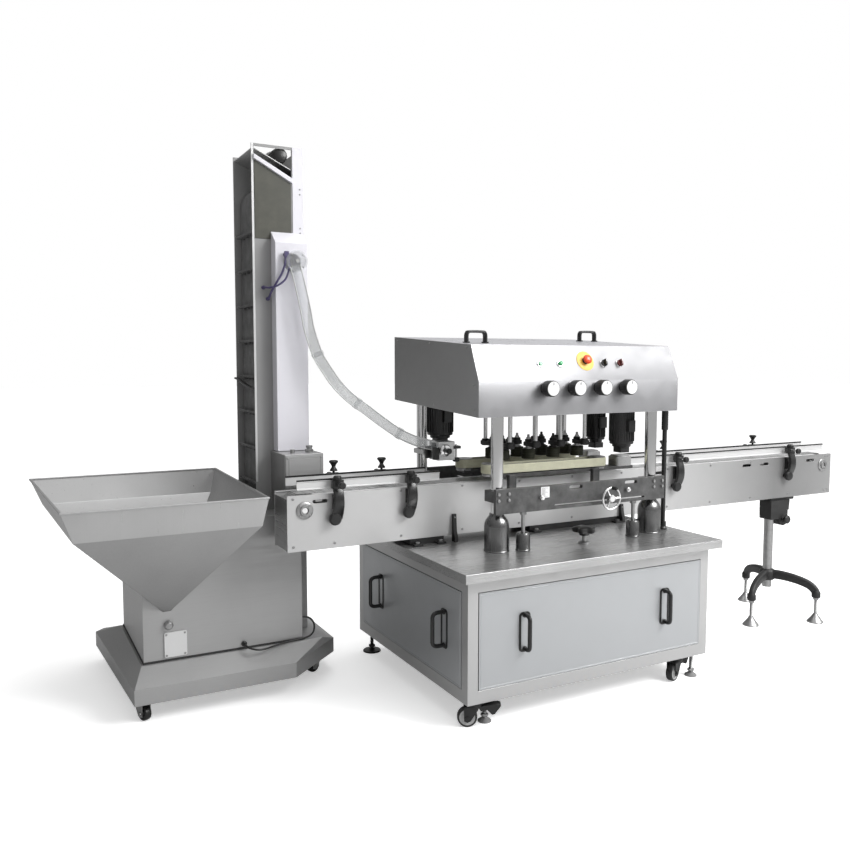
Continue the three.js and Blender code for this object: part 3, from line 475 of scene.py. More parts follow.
shell = carve(
    Shape().box(0, W, 0, D, Z0, Z1 - 0.3),
    Shape().box(3, W - 3, 3, D - 3, Z0 + 6, Z1 + 5),
    Shape().box(BORDER, W - BORDER, -5, 4, *PANEL_Z),
    Shape().box(-5, 4, BORDER, D - BORDER, *PANEL_Z),
)
piece("cabinet_shell", shell, ROOT, "cabinet", 2.4, "cabinet_frame")
returns = Shape()
for axis, length in (("y", W), ("x", D)):
    returns.border(BORDER - 1, length - BORDER + 1, PANEL_Z[0] - 1, PANEL_Z[1] + 1, axis, 2, 24, 2.5)
piece("opening_returns", returns, ROOT, "groove")


def pull_handle(reach):
    """A round grip bar bent back on two legs over a flat frame, out by reach along -Y from the origin; the
    flat black frame is a painted reflection and shadow of the grip on the panel.
    """
    half_bow = [(0, 65.5), (0.33, 65.5), (0.64, 65), (0.89, 60), (0.99, 50), (1, 34)]
    bow = smooth_path([(0, -reach * part, -z) for part, z in half_bow]
                      + [(0, -reach * part, z) for part, z in reversed(half_bow)], 4)
    s = Shape().tube(bow, circle(8, 16), up=X)
    # The flat black frame stands for the grip's reflection and shadow on the panel: painted reflection and
    # shadow.
    s.prism(rounded(-25, 25, -77, 77, 15, 6), "y", -2.6, 0, hole=rounded(-16.5, 16.5, -68.5, 68.5, 8, 6))
    for side in (-1, 1):
        s.turned([(10.5, 2), (10.5, 4), (8.5, 6)], (0, 0, side * 65.5), -Y, sides=28)
    return s


def lift_off_panel(name, length, handles, reach, node, turn):
    """A pan with rounded edges and its two handles, drawn along +X and turned into place."""
    low, high = PANEL_Z[0] + 2.2, PANEL_Z[1] - 2.2
    pan = Shape().box(2, length - 2, -1.5, 16, low, high)
    groove = Shape().border(9, length - 9, low + 7, high - 7, "y", -2.0, -0.6, 1.2)
    pulls = Shape()
    for x in handles:
        pulls.merge(pull_handle(reach).moved(Matrix.Translation((x, -1.5, 345))))
    for s, key, suffix, bevel in ((carve(pan, groove), "panel", "skin", 1.8), (pulls, "black", "pulls", 0)):
        s.moved(turn)
        piece(f"{name}_{suffix}", s, node, key, bevel, node if suffix == "skin" else ())


FRONT_LENGTH, LEFT_LENGTH = W - 2 * (BORDER + 0.3), D - 2 * (BORDER + 0.3)
lift_off_panel("front_panel", FRONT_LENGTH, (203, FRONT_LENGTH - 203), 36, "front_panel",
               Matrix.Translation((BORDER + 0.3, 0, 0)))
lift_off_panel("left_panel", LEFT_LENGTH, (203, LEFT_LENGTH - 128), 52, "left_panel",
               Matrix.Translation((0, D - BORDER - 0.3, 0)) @ Matrix.Rotation(-TAU / 4, 4, "Z"))


def thread(radius, z0, z1, pitch=3.0):
    """The profile of a threaded stem between two heights."""
    count = int((z1 - z0) / pitch)
    out = [(radius, z0)]
    for i in range(count):
        z = z0 + (i + 0.5) * pitch
        out += [(radius, z - pitch * 0.4), (radius - 1.1, z), (radius, z + pitch * 0.4)]
    return out + [(radius, z1)]


def levelling_foot(s, x, y, top, radius):
    pad = [(radius, 0), (radius, 4), (radius - 3, 7), (16, 11), (12, 15)]
    s.turned(pad, (x, y, 0))
    s.turned(thread(8, 12, top), (x, y, 0), slot=1, sides=18)
    s.nut((x, y, 22), Z, 26, 9, 1)


def caster_fork(height, radius, half, trail, brake):
    """Swivel plate, ball race, folded cheeks and axle about the swivel's axis; slots 0 metal, 1 black."""
    s = Shape()
    outer = half + 7
    top = height - 5
    crown = 2 * radius + 3
    s.prism(rounded(-32, 32, -30, 30, 8), "z", top + 1, height)
    s.turned([(25, crown), (27, crown + 2), (27, top - 1), (24, top + 2)])
    s.prism(rounded(-outer, outer, -trail - 12, 16, 7), "z", crown - 1, crown + 2.5)
    for side in (-1, 1):
        inner = side * (half + 3.5)
        a, b = sorted((inner, side * outer))
        s.prism([(-trail - 13, crown + 1), (14, crown + 1), (10, crown - 10), (-trail + 12, radius - 12),
                 (-trail, radius - 17), (-trail - 12, radius - 12)], "x", a, b)
        s.nut((side * outer, -trail, radius), (side, 0, 0), 13, 5)
    s.rod((-outer - 1, -trail, radius), (outer + 1, -trail, radius), 3.9, 0, 14)
    if brake:
        s.loft([[(x, 12, crown - 2), (x, 30, crown + 6), (x, 86, crown + 12), (x, 96, crown + 9),
                 (x, 92, crown), (x, 72, crown - 26), (x, 62, crown - 28), (x, 44, crown - 10),
                 (x, 20, crown - 16)]
                for x in (-outer + 3, outer - 3)], 1)
    return s


def mirrored(profile):
    """A profile from the outer end inwards, with its mirror image about height 0 before it."""
    return [(r, -h) for r, h in profile] + profile[::-1]


def caster_wheel(radius, half, trail):
    """Tyre (slot 0) on a moulded centre (slot 1), about the axle."""
    s = Shape()
    tread = [(radius - 4, half), (radius - 1, half - 2), (radius, half - 6)]
    s.turned(mirrored(tread), (0, -trail, radius), X, 0, 36, radius * 0.79)
    web = [(10, half + 2), (12, half - 3), (radius * 0.55, half - 4), (radius * 0.68, half - 1),
           (radius * 0.795, half - 1)]
    s.turned(mirrored(web), (0, -trail, radius), X, 1, 36, 4.4)
    return s



def at(x, y, turn):
    return Matrix.Translation((x, y, 0)) @ Matrix.Rotation(radians(turn), 4, "Z")


# The rear feet are black rubber on dark cast stems and nuts, darker than the front feet: painted shade.
for name, places, radius, key in (("front", ((112, 62), (1150, 36)), 26, "grey_rubber"),
                                  ("rear", ((45, 960), (1140, 940)), 42, "black")):
    feet = Shape()
    for x, y in places:
        levelling_foot(feet, x, y, 102, radius)
    piece(f"{name}_levelling_feet", feet, ROOT, [key, "zinc" if name == "front" else "cast"])
CABINET_CASTERS = {"left": (57, 40, -118), "right": (1065, 40, -70)}
for side, where in CABINET_CASTERS.items():
    piece(f"cabinet_fork_{side}", caster_fork(101, 38, 14, 30, True).moved(at(*where)), ROOT,
          ["cast", "cast"], 0.8)
    piece(f"cabinet_wheel_{side}_tyre", caster_wheel(38, 14, 30).moved(at(*where)), f"cabinet_wheel_{side}",
          ["black", "hub"], 0, f"cabinet_wheel_{side}")

table = carve(Shape().box(-35, 1235, -45, 1040, 570, 605), Shape().box(-32, 1232, -42, 1037, 560, 600))
piece("table_plate", table, ROOT, "table", 2.6, "table_top", segments=3)

# ---- columns -------------------------------------------------------------------------------------

COLUMNS = {"front_left": (272, 235), "front_right": (1077, 235), "rear_left": (272, 884),
           "rear_right": (1077, 884)}
FLOOR = 605.3  # the table's top, just clear of it
for name, (x, y) in COLUMNS.items():
    sleeve = Shape().turned([(52, FLOOR), (52, FLOOR + 3), (50.5, FLOOR + 5), (50.5, 706), (49, 718),
                             (44, 731), (36, 742), (31, 749), (30, 754), (30, 757)], (x, y, 0), sides=48)
    piece(f"{name}_sleeve", sleeve, ROOT, "bottle", 0, f"{name}_column")
    bar = Shape().turned([(25, 750), (25, 1302), (21, 1307)], (x, y, 0), sides=40)
    piece(f"{name}_bar", bar, ROOT, "chrome")

# ---- head ----------------------------------------------------------------------------------------

HX0, HX1, HY0, HY1 = 160, 1193, 195, 945
FOLD, LIP_Y, LIP_Z, BACK_Z0, BACK_Z1 = 1285, 257, 1430, 1184, 1475
SLOPE = atan2(LIP_Z - FOLD, LIP_Y - HY0)
OUT = Vector((0, -sin(SLOPE), cos(SLOPE)))
UP_FACE = Vector((0, cos(SLOPE), sin(SLOPE)))


def on_slant(x, part, lift=0.0):
    point = Vector((x, HY0 + part * (LIP_Y - HY0), FOLD + part * (LIP_Z - FOLD)))
    return point + OUT * lift


def top_z(y):
    return LIP_Z + (y - LIP_Y) * (BACK_Z1 - LIP_Z) / (HY1 - LIP_Y)


outline = [(HY0, 1145), (HY1, BACK_Z0), (HY1, BACK_Z1), (LIP_Y, LIP_Z), (HY0, FOLD)]
inner = [(HY0 + 3, 1080), (HY1 - 3, 1080), (HY1 - 3, BACK_Z1 - 3.2), (LIP_Y + 2, LIP_Z - 3.2),
         (HY0 + 3, FOLD - 1)]
casing = carve(Shape().prism(outline, "x", HX0, HX1), Shape().prism(inner, "x", HX0 + 3, HX1 - 3))
# The head's ends and lower front take darker copies of the casing steel by the way they face, and its slant
# a copy shaded along X: painted shade.
CASING_STEELS_WITH_PAINTED_SHADE = ["casing", "casing_side", "casing_front", "casing_slant"]
shell = piece("head_shell", casing, "head", CASING_STEELS_WITH_PAINTED_SHADE, 3.0, "head_casing", segments=3)
paint(shell, lambda n: 1 if abs(n.x) > 0.9 else 2 if n.y < -0.97 else 3 if n.y < -0.5 and n.z > 0.2 else 0)
trim = Shape()
for x in (HX0, HX1):
    out = -1 if x == HX0 else 1
    for y, z in ((230, 1175), (230, 1270), (290, 1418), (600, 1440), (915, 1455), (915, 1205), (560, 1180)):
        trim.screw((x, y, z), (out, 0, 0), 4.0)
for x in (230, 450, 676, 900, 1120):
    trim.screw((x, HY1, 1215), Y, 4.0)
    trim.screw((x, HY1, 1450), Y, 4.0)
piece("casing_screws", trim, "head", "zinc")
vents = Shape()
for k in range(9):
    vents.prism(rounded(560, 790, 1290 + k * 14, 1296 + k * 14, 2.9, 3), "y", HY1 - 0.5, HY1 + 1.2)
piece("casing_vents", vents, "head", "groove")

handles = Shape()
for x, y in ((270, 400), (1085, 700)):
    z = top_z(y)
    bow = smooth_path([(x - 45, y, z - 1), (x - 45, y, z + 30), (x - 41, y, z + 41), (x - 31, y, z + 46),
                       (x + 31, y, z + 46), (x + 41, y, z + 41), (x + 45, y, z + 30), (x + 45, y, z - 1)],
                       5)
    handles.tube(bow, rounded(-5.5, 5.5, -13, 13, 4.5, 4), up=Y)
    for side in (-1, 1):
        handles.prism(rounded(x + side * 45 - 10, x + side * 45 + 10, y - 17, y + 17, 6), "z", z - 1, z + 5)
piece("lift_handles", handles, "head", "black")

ESTOP = on_slant(700, 0.55)
CONTROLS, START_X, LAMP_X, MODE_X, LIGHT_X = 0.47, 468, 567, 793, 879
estop_plate = Shape().turned([(43, 0.1), (43, 1.6), (41.5, 2.4)], ESTOP, OUT, sides=48)
piece("emergency_plate", estop_plate, "head", "yellow")
collar = Shape().turned([(15.5, 2), (15.5, 5.5), (13.5, 7)], ESTOP, OUT, bore=9)
piece("emergency_collar", collar, "head", "black")
mushroom = Shape().turned([(7.8, -9), (7.8, 13), (17.5, 14.5), (20, 17), (20, 21), (18, 25), (12, 28.4),
                           (5, 29.8), (0, 30)], ESTOP, OUT, sides=40)
piece("emergency_button", mushroom, "emergency_stop", "red", 0, "emergency_stop")

bezels = Shape()
for x in (START_X, LAMP_X, MODE_X, LIGHT_X):
    bezels.turned([(16.5, 0.2), (16.5, 2.5), (14.5, 5)], on_slant(x, CONTROLS), OUT, bore=11.6)
piece("control_bezels", bezels, "head", "chrome")
start = Shape().turned([(10.8, -8), (10.8, 8.5), (9.4, 10.4), (7, 10.6), (6.2, 9.4), (0, 9.2)],
                       on_slant(START_X, CONTROLS), OUT)
piece("start_cap", start, "start_button", "green", 0, "start_button")
lamp = Shape().turned([(11, 0.3), (11, 7), (9.5, 10.5), (6, 12.4), (0, 13)], on_slant(LAMP_X, CONTROLS),
                      OUT)
piece("pilot_lamp", lamp, "head", "green")
for name, x, key, slot in (("mode_selector", MODE_X, "black", "black_plastic"),
                           ("light_selector", LIGHT_X, "dark_red", "dark_red_plastic")):
    dial = Shape().turned([(7.8, -8), (7.8, 5.4), (14.5, 5.4), (15, 7), (15, 11), (13.5, 13)],
                          on_slant(x, CONTROLS), OUT)
    turn = Matrix.Translation(on_slant(x, CONTROLS)) @ Matrix((X, UP_FACE, OUT)).transposed().to_4x4()
    bow = Shape().loft([[(u * k, v * (0.9 + 0.1 * k), z) for u, v in rounded(-4, 4, -14.5, 14.5, 3.9, 4)]
                        for k, z in ((1.35, 12), (1.0, 16), (0.95, 24), (0.7, 26))])
    piece(f"{name}_dial", dial.merge(bow.moved(turn)), name, key, 0, name)
    mark = Shape().prism(rect(-0.7, 0.7, 3, 13), "z", 25.2, 26.5).moved(turn)
    piece(f"{name}_mark", mark, name, "white_plastic")

STATIONS = (475, 610, 745, 880)
for i, x in enumerate(STATIONS, 1):
    rounds = [(a, 33 - 1.5 * (0.5 + 0.5 * cos(24 * a))) for a in turns(72)]
    flutes = [(r * cos(a), r * sin(a)) for a, r in rounds]
    knob = Shape()
    knob.turned([(25, 0.4), (25, 12), (30, 16)], (x, HY0, 1255), -Y, 0, 40)
    knob.loft([[(x + u * k, HY0 - h, 1255 + v * k) for u, v in flutes]
               for k, h in ((0.9, 12), (1, 17), (1, 51), (0.95, 54.5))])
    piece(f"speed_knob_{i}_grip", knob, f"speed_knob_{i}", "black", 0, f"speed_knob_{i}")
    cap = Shape().turned([(28.5, 53), (28.5, 55.4), (27, 56.4), (22, 56.4), (21, 55.6)],
                         (x, HY0, 1255), -Y, 0, 48)
    cap.prism([(x - 0.9, 1255 + 14), (x + 0.9, 1255 + 14), (x + 0.9, 1255 + 26), (x - 0.9, 1255 + 26)],
              "y", HY0 - 57, HY0 - 55, 1)
    piece(f"speed_knob_{i}_face", cap, f"speed_knob_{i}", ["white_plastic", "black"])

# deck, rods and arms, motors

deck = Shape().box(HX0 + 3.3, HX1 - 3.3, HY0 + 3.3, HY1 - 3.3, 1188, 1200)
piece("deck_plate", deck, "head", "steel", 1.0, "head_deck")
bushes = Shape()
for x, y in COLUMNS.values():
    bushes.turned([(34, 1166), (36, 1168), (36, 1188), (34, 1188), (34, 1250)], (x, y, 0), bore=25.6)
piece("column_bushings", bushes, "head", "steel_z")

CENTRE = 550
rods, arms = Shape(), Shape()
for x in STATIONS:
    for side in (-1, 1):
        rod_y, pin_y = CENTRE + side * 100, CENTRE + side * 45
        rods.rod((x, rod_y, 986), (x, rod_y, 1189), 9, 0, 28)
        rods.turned([(16, 1178), (16, 1188)], (x, rod_y, 0), sides=28)
        arms.prism(rounded(x - 21, x + 21, rod_y + side * 17, pin_y - side * 17, 12, 8), "z", 988, 1006)
        arms.turned([(17, 984), (17, 1012), (15, 1014)], (x, rod_y, 0), bore=9.4)
        arms.turned([(16, 1004), (16, 1016), (14, 1018)], (x, pin_y, 0), bore=7)
        arms.nut((x + 17, rod_y, 999), X, 9, 6, 1)
piece("spindle_rods", rods, "head", "rod")
piece("spindle_arms", arms, "head", ["cast", "zinc"], 1.2)


def hanging_motor(name, x, y, radius, z0, shaft, shaft_end, key):
    s = Shape()
    s.turned([(radius - 14, z0 - 12), (radius - 12, z0 - 10), (radius - 12, z0), (radius - 2, z0 + 1),
              (radius, z0 + 4), (radius, 1174), (radius + 10, 1174), (radius + 10, 1187)],
             (x, y, 0), sides=40)
    for a in turns(28):
        fin = Shape().box(radius - 2, radius + 3.5, -1.1, 1.1, z0 + 14, 1164)
        s.merge(fin.moved(Matrix.Translation((x, y, 0)) @ Matrix.Rotation(a, 4, "Z")))
    s.box(x - 18, x + 18, y - radius - 18, y - radius + 6, z0 + 60, z0 + 112)
    s.turned([(20, z0 - 24), (22, z0 - 22), (22, z0 - 10)], (x, y, 0), slot=1)
    s.rod((x, y, shaft_end), (x, y, z0 - 14), shaft, 1)
    s.prism(rounded(x - 27, x + 27, y - 27, y + 27, 6), "z", z0 - 38, z0 - 13)
    piece(name, s, "head", [key, "steel_z"], 1.0)


hanging_motor("head_motor_left", 240, 650, 56, 1040, 13, 993, "motor")
hanging_motor("head_motor_right", 1085, 620, 42, 985, 10, 951, "motor")
hanging_motor("head_motor_front", 1054, 400, 54, 985, 12, 946, "motor_grey")

for row, side in (("front", -1), ("rear", 1)):
    for i, x in enumerate(STATIONS, 1):
        where = (x, CENTRE + side * 45, 0)
        tyre = [(28, 932), (30, 934), (30, 941), (28.6, 942), (30, 943), (30, 953), (28.6, 954), (30, 955),
                (30, 965), (28.6, 966), (30, 967), (30, 974), (28, 976)]
        name = f"{row}_capping_wheel_{i}"
        piece(f"{name}_tyre", Shape().turned(tyre, where, Z, 0, 40, 17), name, "olive_rubber",
              0, name)
        hub = Shape().turned([(17.5, 933), (17.5, 978), (20, 978), (20, 981), (13, 982), (13, 988),
                              (6, 988), (6, 1036), (4.5, 1039)], where, Z, 0, 28)
        hub.nut((*where[:2], 1019), Z, 18, 7)
        piece(f"{name}_hub", hub, name, "black" if i % 2 else "steel_z")

# cable conduit in two tubes, one sliding over the other as the head goes up

CONDUIT = (1172, 248)
conduit = Shape().rod((*CONDUIT, 605.5), (*CONDUIT, 1178), 10)
conduit.turned([(19, 605.3), (19, 612), (15, 618), (15, 640)], (*CONDUIT, 0), sides=28)
piece("conduit_lower", conduit, ROOT, "black")
sheath = [(14, 1056), *((14 + k % 2, 1060 + 4 * k) for k in range(31)), (14, 1187.5)]
sheath = Shape().turned(sheath, (*CONDUIT, 0), sides=28, bore=11)
piece("conduit_upper", sheath, "head", "black")

# ---- cross beams ---------------------------------------------------------------------------------

for row, side in (("front", -1), ("rear", 1)):
    column_y = COLUMNS[f"{row}_left"][1]
    face = column_y + side * 33
    near, far = sorted((face, face + side * 18))
    middle = (near + far) / 2
    beam = Shape().box(235, 1115, near, far, 760, 860)
    cutters = [Shape().prism(rounded(x - 34, x + 34, 837, 852, 7.4, 6), "y", near - 5, far + 5)
               for x in (628, 924)]
    cutters.append(Shape().prism(rounded(520, 1000, 772, 780, 3.9, 4), "y", near - 5, far + 5))
    piece(f"{row}_beam_bar", carve(beam, *cutters), ROOT, "dark_paint", 1.6, f"{row}_beam")
    clamps, bolts = Shape(), Shape()
    for x in (272, 1077):
        clamps.merge(carve(Shape().box(x - 36, x + 36, face, column_y - side * 36, 804, 850),
                           Shape().turned([(25.4, 790), (25.4, 870)], (x, column_y, 0), sides=48),
                           Shape().box(x + 20, x + 40, column_y - 1.5, column_y + 1.5, 790, 870)))
        for dx in (-24, 24):
            for z in (815, 840):
                bolts.nut((x + dx, face + side * 18, z), (0, side, 0), 12, 6)
    for x in (371, 945):
        bolts.rod((x, middle, FLOOR + 60), (x, middle, 762), 8)
        bolts.turned([(30, FLOOR), (30, FLOOR + 4), (28.5, FLOOR + 6), (28.5, FLOOR + 62), (24, FLOOR + 71),
                      (12, FLOOR + 75)], (x, middle, 0), slot=1, sides=40)
        bolts.nut((x, middle, 750), Z, 24, 9)
    piece(f"{row}_beam_clamps", clamps, ROOT, "dark_paint", 1.2)
    piece(f"{row}_beam_fittings", bolts, ROOT, ["zinc", "bottle"])

scale = Shape().box(450, 492, 182.2, 184.2, 812, 856)
for k in range(9):
    long = 7 if k % 4 == 0 else 4
    scale.box(455, 455 + 4 * long, 181.6, 182.6, 817 + k * 4.2, 818 + k * 4.2, 1)
piece("scale_plate", scale, ROOT, ["white_plastic", "black"])

WX, WY, WZ = 783, 184, 790
wheel = Shape()
wheel.tube([(WX + 45.5 * cos(a), WY - 40, WZ + 45.5 * sin(a)) for a in turns(48)],
           circle(4.8, 12), 0, True, Y)
wheel.turned([(8, -34), (8, 24), (15, 25), (16, 28), (16, 46), (13, 49)], (WX, WY, WZ), -Y, 0, 28)
for a in turns(3):
    d = Vector((cos(a), 0, sin(a)))
    wheel.tube([Vector((WX, WY - 38, WZ)) + d * 12, Vector((WX, WY - 40, WZ)) + d * 43],
               rounded(-4, 4, -3, 3, 2.5, 3), up=Y)
wheel.rod((WX, WY - 40, WZ + 45), (WX, WY - 50, WZ + 45), 4, 0, 16)
wheel.turned([(7, 48), (8, 52), (6.5, 60), (8, 68), (6, 72)], (WX, WY, WZ + 45), -Y, 1, 24)
piece("handwheel_rim", wheel, "grip_handwheel", ["chrome", "black"], 0, "grip_handwheel")

STAR_X, STAR_Y = 667, 176
star = Shape()
lobes = [(a, 43 + 7 * cos(5 * a)) for a in turns(80)]
star.loft([[(STAR_X + r * k * cos(a), STAR_Y + r * k * sin(a), z) for a, r in lobes]
           for k, z in ((0.86, 652), (0.97, 655), (1, 660), (1, 668), (0.95, 673), (0.7, 677), (0.3, 678))])
star.turned([(20, 640), (24, 652), (0, 653)], (STAR_X, STAR_Y, 0))
star.turned([(24, FLOOR), (24, FLOOR + 7), (20, FLOOR + 10), (9, FLOOR + 12), (9, 641)],
            (STAR_X, STAR_Y, 0), slot=1)
piece("star_knob_grip", star, "star_knob", ["black", "zinc"], 0, "star_knob")

# ---- grip belts ----------------------------------------------------------------------------------

G0, G1 = 330, 985
for row, side in (("front", -1), ("rear", 1)):
    body = f"{row}_grip"
    mid = CENTRE + side * 110
    outer = CENTRE + side * 150
    belt = Shape().prism(rounded(G0, G1, mid - 40, mid + 40, 39.9, 16), "z", 888, 926,
                         hole=rounded(G0 + 6, G1 - 6, mid - 34, mid + 34, 33.9, 16))
    piece(f"{row}_belt_loop", belt, body, "belt", 1.5, f"{row}_grip_belt")
    ribs = Shape()
    for z in (894, 901, 907, 913, 920):
        ribs.tube([(u, v, z) for u, v in rounded(G0 - 0.6, G1 + 0.6, mid - 40.6, mid + 40.6, 40.5, 16)],
                  circle(1.1, 6), 0, True, Z)
    piece(f"{row}_belt_ribs", ribs, body, "belt")
    pulleys = Shape()
    for x in (G0 + 40, G1 - 40):
        pulleys.turned([(37, 876), (37, 884), (33, 886), (33, 927), (37, 928), (37, 930)],
                       (x, mid, 0), sides=40)
        pulleys.nut((x, mid, 929.5), Z, 20, 2.4)
    piece(f"{row}_belt_pulleys", pulleys, body, "steel")
    carrier = Shape().box(G0 + 20, G1 + 145, mid - 34, mid + 34, 868, 882)
    carrier.box(G0 + 40, G1 - 40, mid - 12, mid + 12, 880, 921)
    for x in (450, 900):
        carrier.box(x - 18, x + 18, outer - side * 8, outer + side * 14, 799, 880)
    piece(f"{row}_belt_carrier", carrier, body, "dark_paint", 1.2)
    gear = Shape().prism(rounded(G1 + 50, G1 + 140, mid - 34, mid + 34, 12), "z", 880, 924)
    gear.prism(rounded(G1 + 58, G1 + 132, mid - 27, mid + 27, 9), "z", 922, 931)
    for x in (G1 + 62, G1 + 128):
        for y in (mid - 24, mid + 24):
            gear.screw((x, y, 924), Z, 4.5)
    piece(f"{row}_belt_gearbox", gear, body, "steel_y", 1.2)
    guides = Shape()
    column_y = COLUMNS[f"{row}_left"][1]
    tail = column_y + side * (25 + 8 + 18 + 20)
    for x in (450, 900):
        guides.rod((x, outer, 815), (x, tail, 815), 7.5)
        guides.nut((x, tail - side * 14, 815), (0, side, 0), 20, 9)
        guides.nut((x, outer + side * 14, 815), (0, side, 0), 22, 8)
    piece(f"{row}_belt_guides", guides, body, "chrome")

# ---- conveyor ------------------------------------------------------------------------------------

L0, L1, LZ0, LZ1 = -523, 2620, 632, 850
CHAIN_Z, CHAIN_X0, CHAIN_X1 = 791, -453, 2550
plates = Shape()
for side in (-1, 1):
    out, inn, lip, foot = (CENTRE + side * d for d in (80, 74, 68, 56))
    section = [(out, LZ0), (out, LZ1), (lip, LZ1), (lip, LZ1 - 4), (inn, LZ1 - 4), (inn, LZ0 + 4),
               (foot, LZ0 + 4), (foot, LZ0)]
    side_plate = Shape().prism(section, "x", L0, L1)
    slots = [Shape().prism(rounded(x, x + 62, 815, 829, 6.9, 6), "y", CENTRE + side * 90,
                           CENTRE + side * 60)
             for x in (-420, 1330, 1930, 2060, 2420)]
    plates.merge(carve(side_plate, *slots))
piece("conveyor_sides", plates, ROOT, "line_side", 1.2, "conveyor_frame")
inside = Shape()
for x in (L0 + 0.5, L1 - 6.5):
    inside.box(x, x + 6, CENTRE - 74, CENTRE + 74, LZ0 + 4, LZ1 - 12)
piece("conveyor_ends", inside, ROOT, "steel_y", 1.0)
wear = Shape()
for side in (-1, 1):
    wear.box(CHAIN_X0 + 40, CHAIN_X1 - 40, CENTRE + side * 68, CENTRE + side * 47, 843, 849.5)
piece("wear_strips", wear, ROOT, "white_plastic", 0.8)
bed = Shape().box(CHAIN_X0 + 64, CHAIN_X1 - 64, CENTRE - 38, CENTRE + 38, 832, 840)
for i in range(8):
    x = CHAIN_X0 + 60 + i * (CHAIN_X1 - CHAIN_X0 - 120) / 7
    bed.box(x - 14, x + 14, CENTRE - 75, CENTRE + 75, 820, 834)
piece("slider_bed", bed, ROOT, "zinc", 0.8)
seats_and_gap_shade = Shape()
# The long dark block from x 600 to 1112 fills the gap under the conveyor: painted shadow of that gap.
for x0, x1 in ((5, 161), (600, 1112)):
    seats_and_gap_shade.box(x0, x1, CENTRE - 78, CENTRE + 78, FLOOR, 632.5)
    for x in (x0 + 24, x1 - 24):
        seats_and_gap_shade.box(x - 20, x + 20, CENTRE - 108, CENTRE + 108, FLOOR, FLOOR + 8)
        for y in (CENTRE - 94, CENTRE + 94):
            seats_and_gap_shade.nut((x, y, FLOOR + 8), Z, 17, 8, 1)
for x, top in ((206, 722), (1116, 690)):
    seats_and_gap_shade.prism([(CENTRE - 108, FLOOR), (CENTRE - 80.3, FLOOR), (CENTRE - 80.3, top), (CENTRE - 92, top),
                 (CENTRE - 98, 650), (CENTRE - 108, 622)], "x", x - 8, x + 8)
    seats_and_gap_shade.screw((x, CENTRE - 92, top - 14), -Y, 4, 1)
piece("conveyor_seats_and_gap_shade", seats_and_gap_shade, ROOT, ["cast", "zinc"], 1.2)
fasteners = Shape()
for side in (-1, 1):
    y = CENTRE + side * 80
    for x in [L0 + 24, L1 - 24, *range(-330, 2600, 290)]:
        fasteners.screw((x, y, 838), (0, side, 0), 5.5)
        fasteners.screw((x, y, 652), (0, side, 0), 5.5)
    for x in (CHAIN_X0, CHAIN_X1):
        fasteners.turned([(34, 0), (34, 4), (31, 6), (22, 7), (20, 12)], (x, y, CHAIN_Z), (0, side, 0),
                         bore=13.5)
        for u, v in ((27 * cos(a), 27 * sin(a)) for a in turns(4, 0.5)):
            fasteners.nut((x + u, y + side * 5, CHAIN_Z + v), (0, side, 0), 8, 4)
piece("conveyor_fasteners", fasteners, ROOT, "zinc")

# slats of the chain, one after the other round the loop
PITCH, R = 38.1, 56
run = CHAIN_X1 - CHAIN_X0
count = int((2 * run + TAU * R) / PITCH)
pitch = (2 * run + TAU * R) / count
slats = Shape()
for k in range(count):
    s = k * pitch
    if s < run:
        p, angle = Vector((CHAIN_X0 + s, CENTRE, CHAIN_Z + R)), 0.0
    elif s < run + pi * R:
        angle = (s - run) / R
        p = Vector((CHAIN_X1 + R * sin(angle), CENTRE, CHAIN_Z + R * cos(angle)))
    elif s < 2 * run + pi * R:
        angle = pi
        p = Vector((CHAIN_X1 - (s - run - pi * R), CENTRE, CHAIN_Z - R))
    else:
        angle = pi + (s - 2 * run - pi * R) / R
        p = Vector((CHAIN_X0 + R * sin(angle), CENTRE, CHAIN_Z + R * cos(angle)))
    half = pitch / 2 - 0.9
    top = Shape().prism([(-half + 1, 4), (half - 1, 4), (half, 3), (half, 0.4), (-half, 0.4), (-half, 3)],
                        "y", -44.5, 44.5)
    knuckle = Shape().prism(circle(4.2, 10, half, -2.6), "y", -20, 20)
    slats.merge(top.merge(knuckle).moved(Matrix.Translation(p) @ Matrix.Rotation(angle, 4, "Y")))
piece("chain_slats", slats, ROOT, "steel_y", 0, "slat_chain")
for name, x in (("chain_idler", CHAIN_X0), ("chain_drive", CHAIN_X1)):
    drum = Shape()
    for y in (-26, 26):
        teeth = []
        for k in range(18):
            for r, da in ((46, 0.0), (49, 0.3), (49, 0.7), (46, 1.0)):
                a = (k + da) * TAU / 18
                teeth.append((x + r * cos(a), CHAIN_Z + r * sin(a)))
        drum.prism(teeth, "y", CENTRE + y - 6, CENTRE + y + 6)
    drum.turned([(26, -42), (26, 42)], (x, CENTRE, CHAIN_Z), Y)
    drum.rod((x, CENTRE - 86, CHAIN_Z), (x, CENTRE + 86, CHAIN_Z), 12, 1)
    piece(f"{name}_sprockets", drum, name, ["white_plastic", "chrome"], 0, f"{name}_roller")

# guide rails, and the swan-neck brackets and knobs that hold them

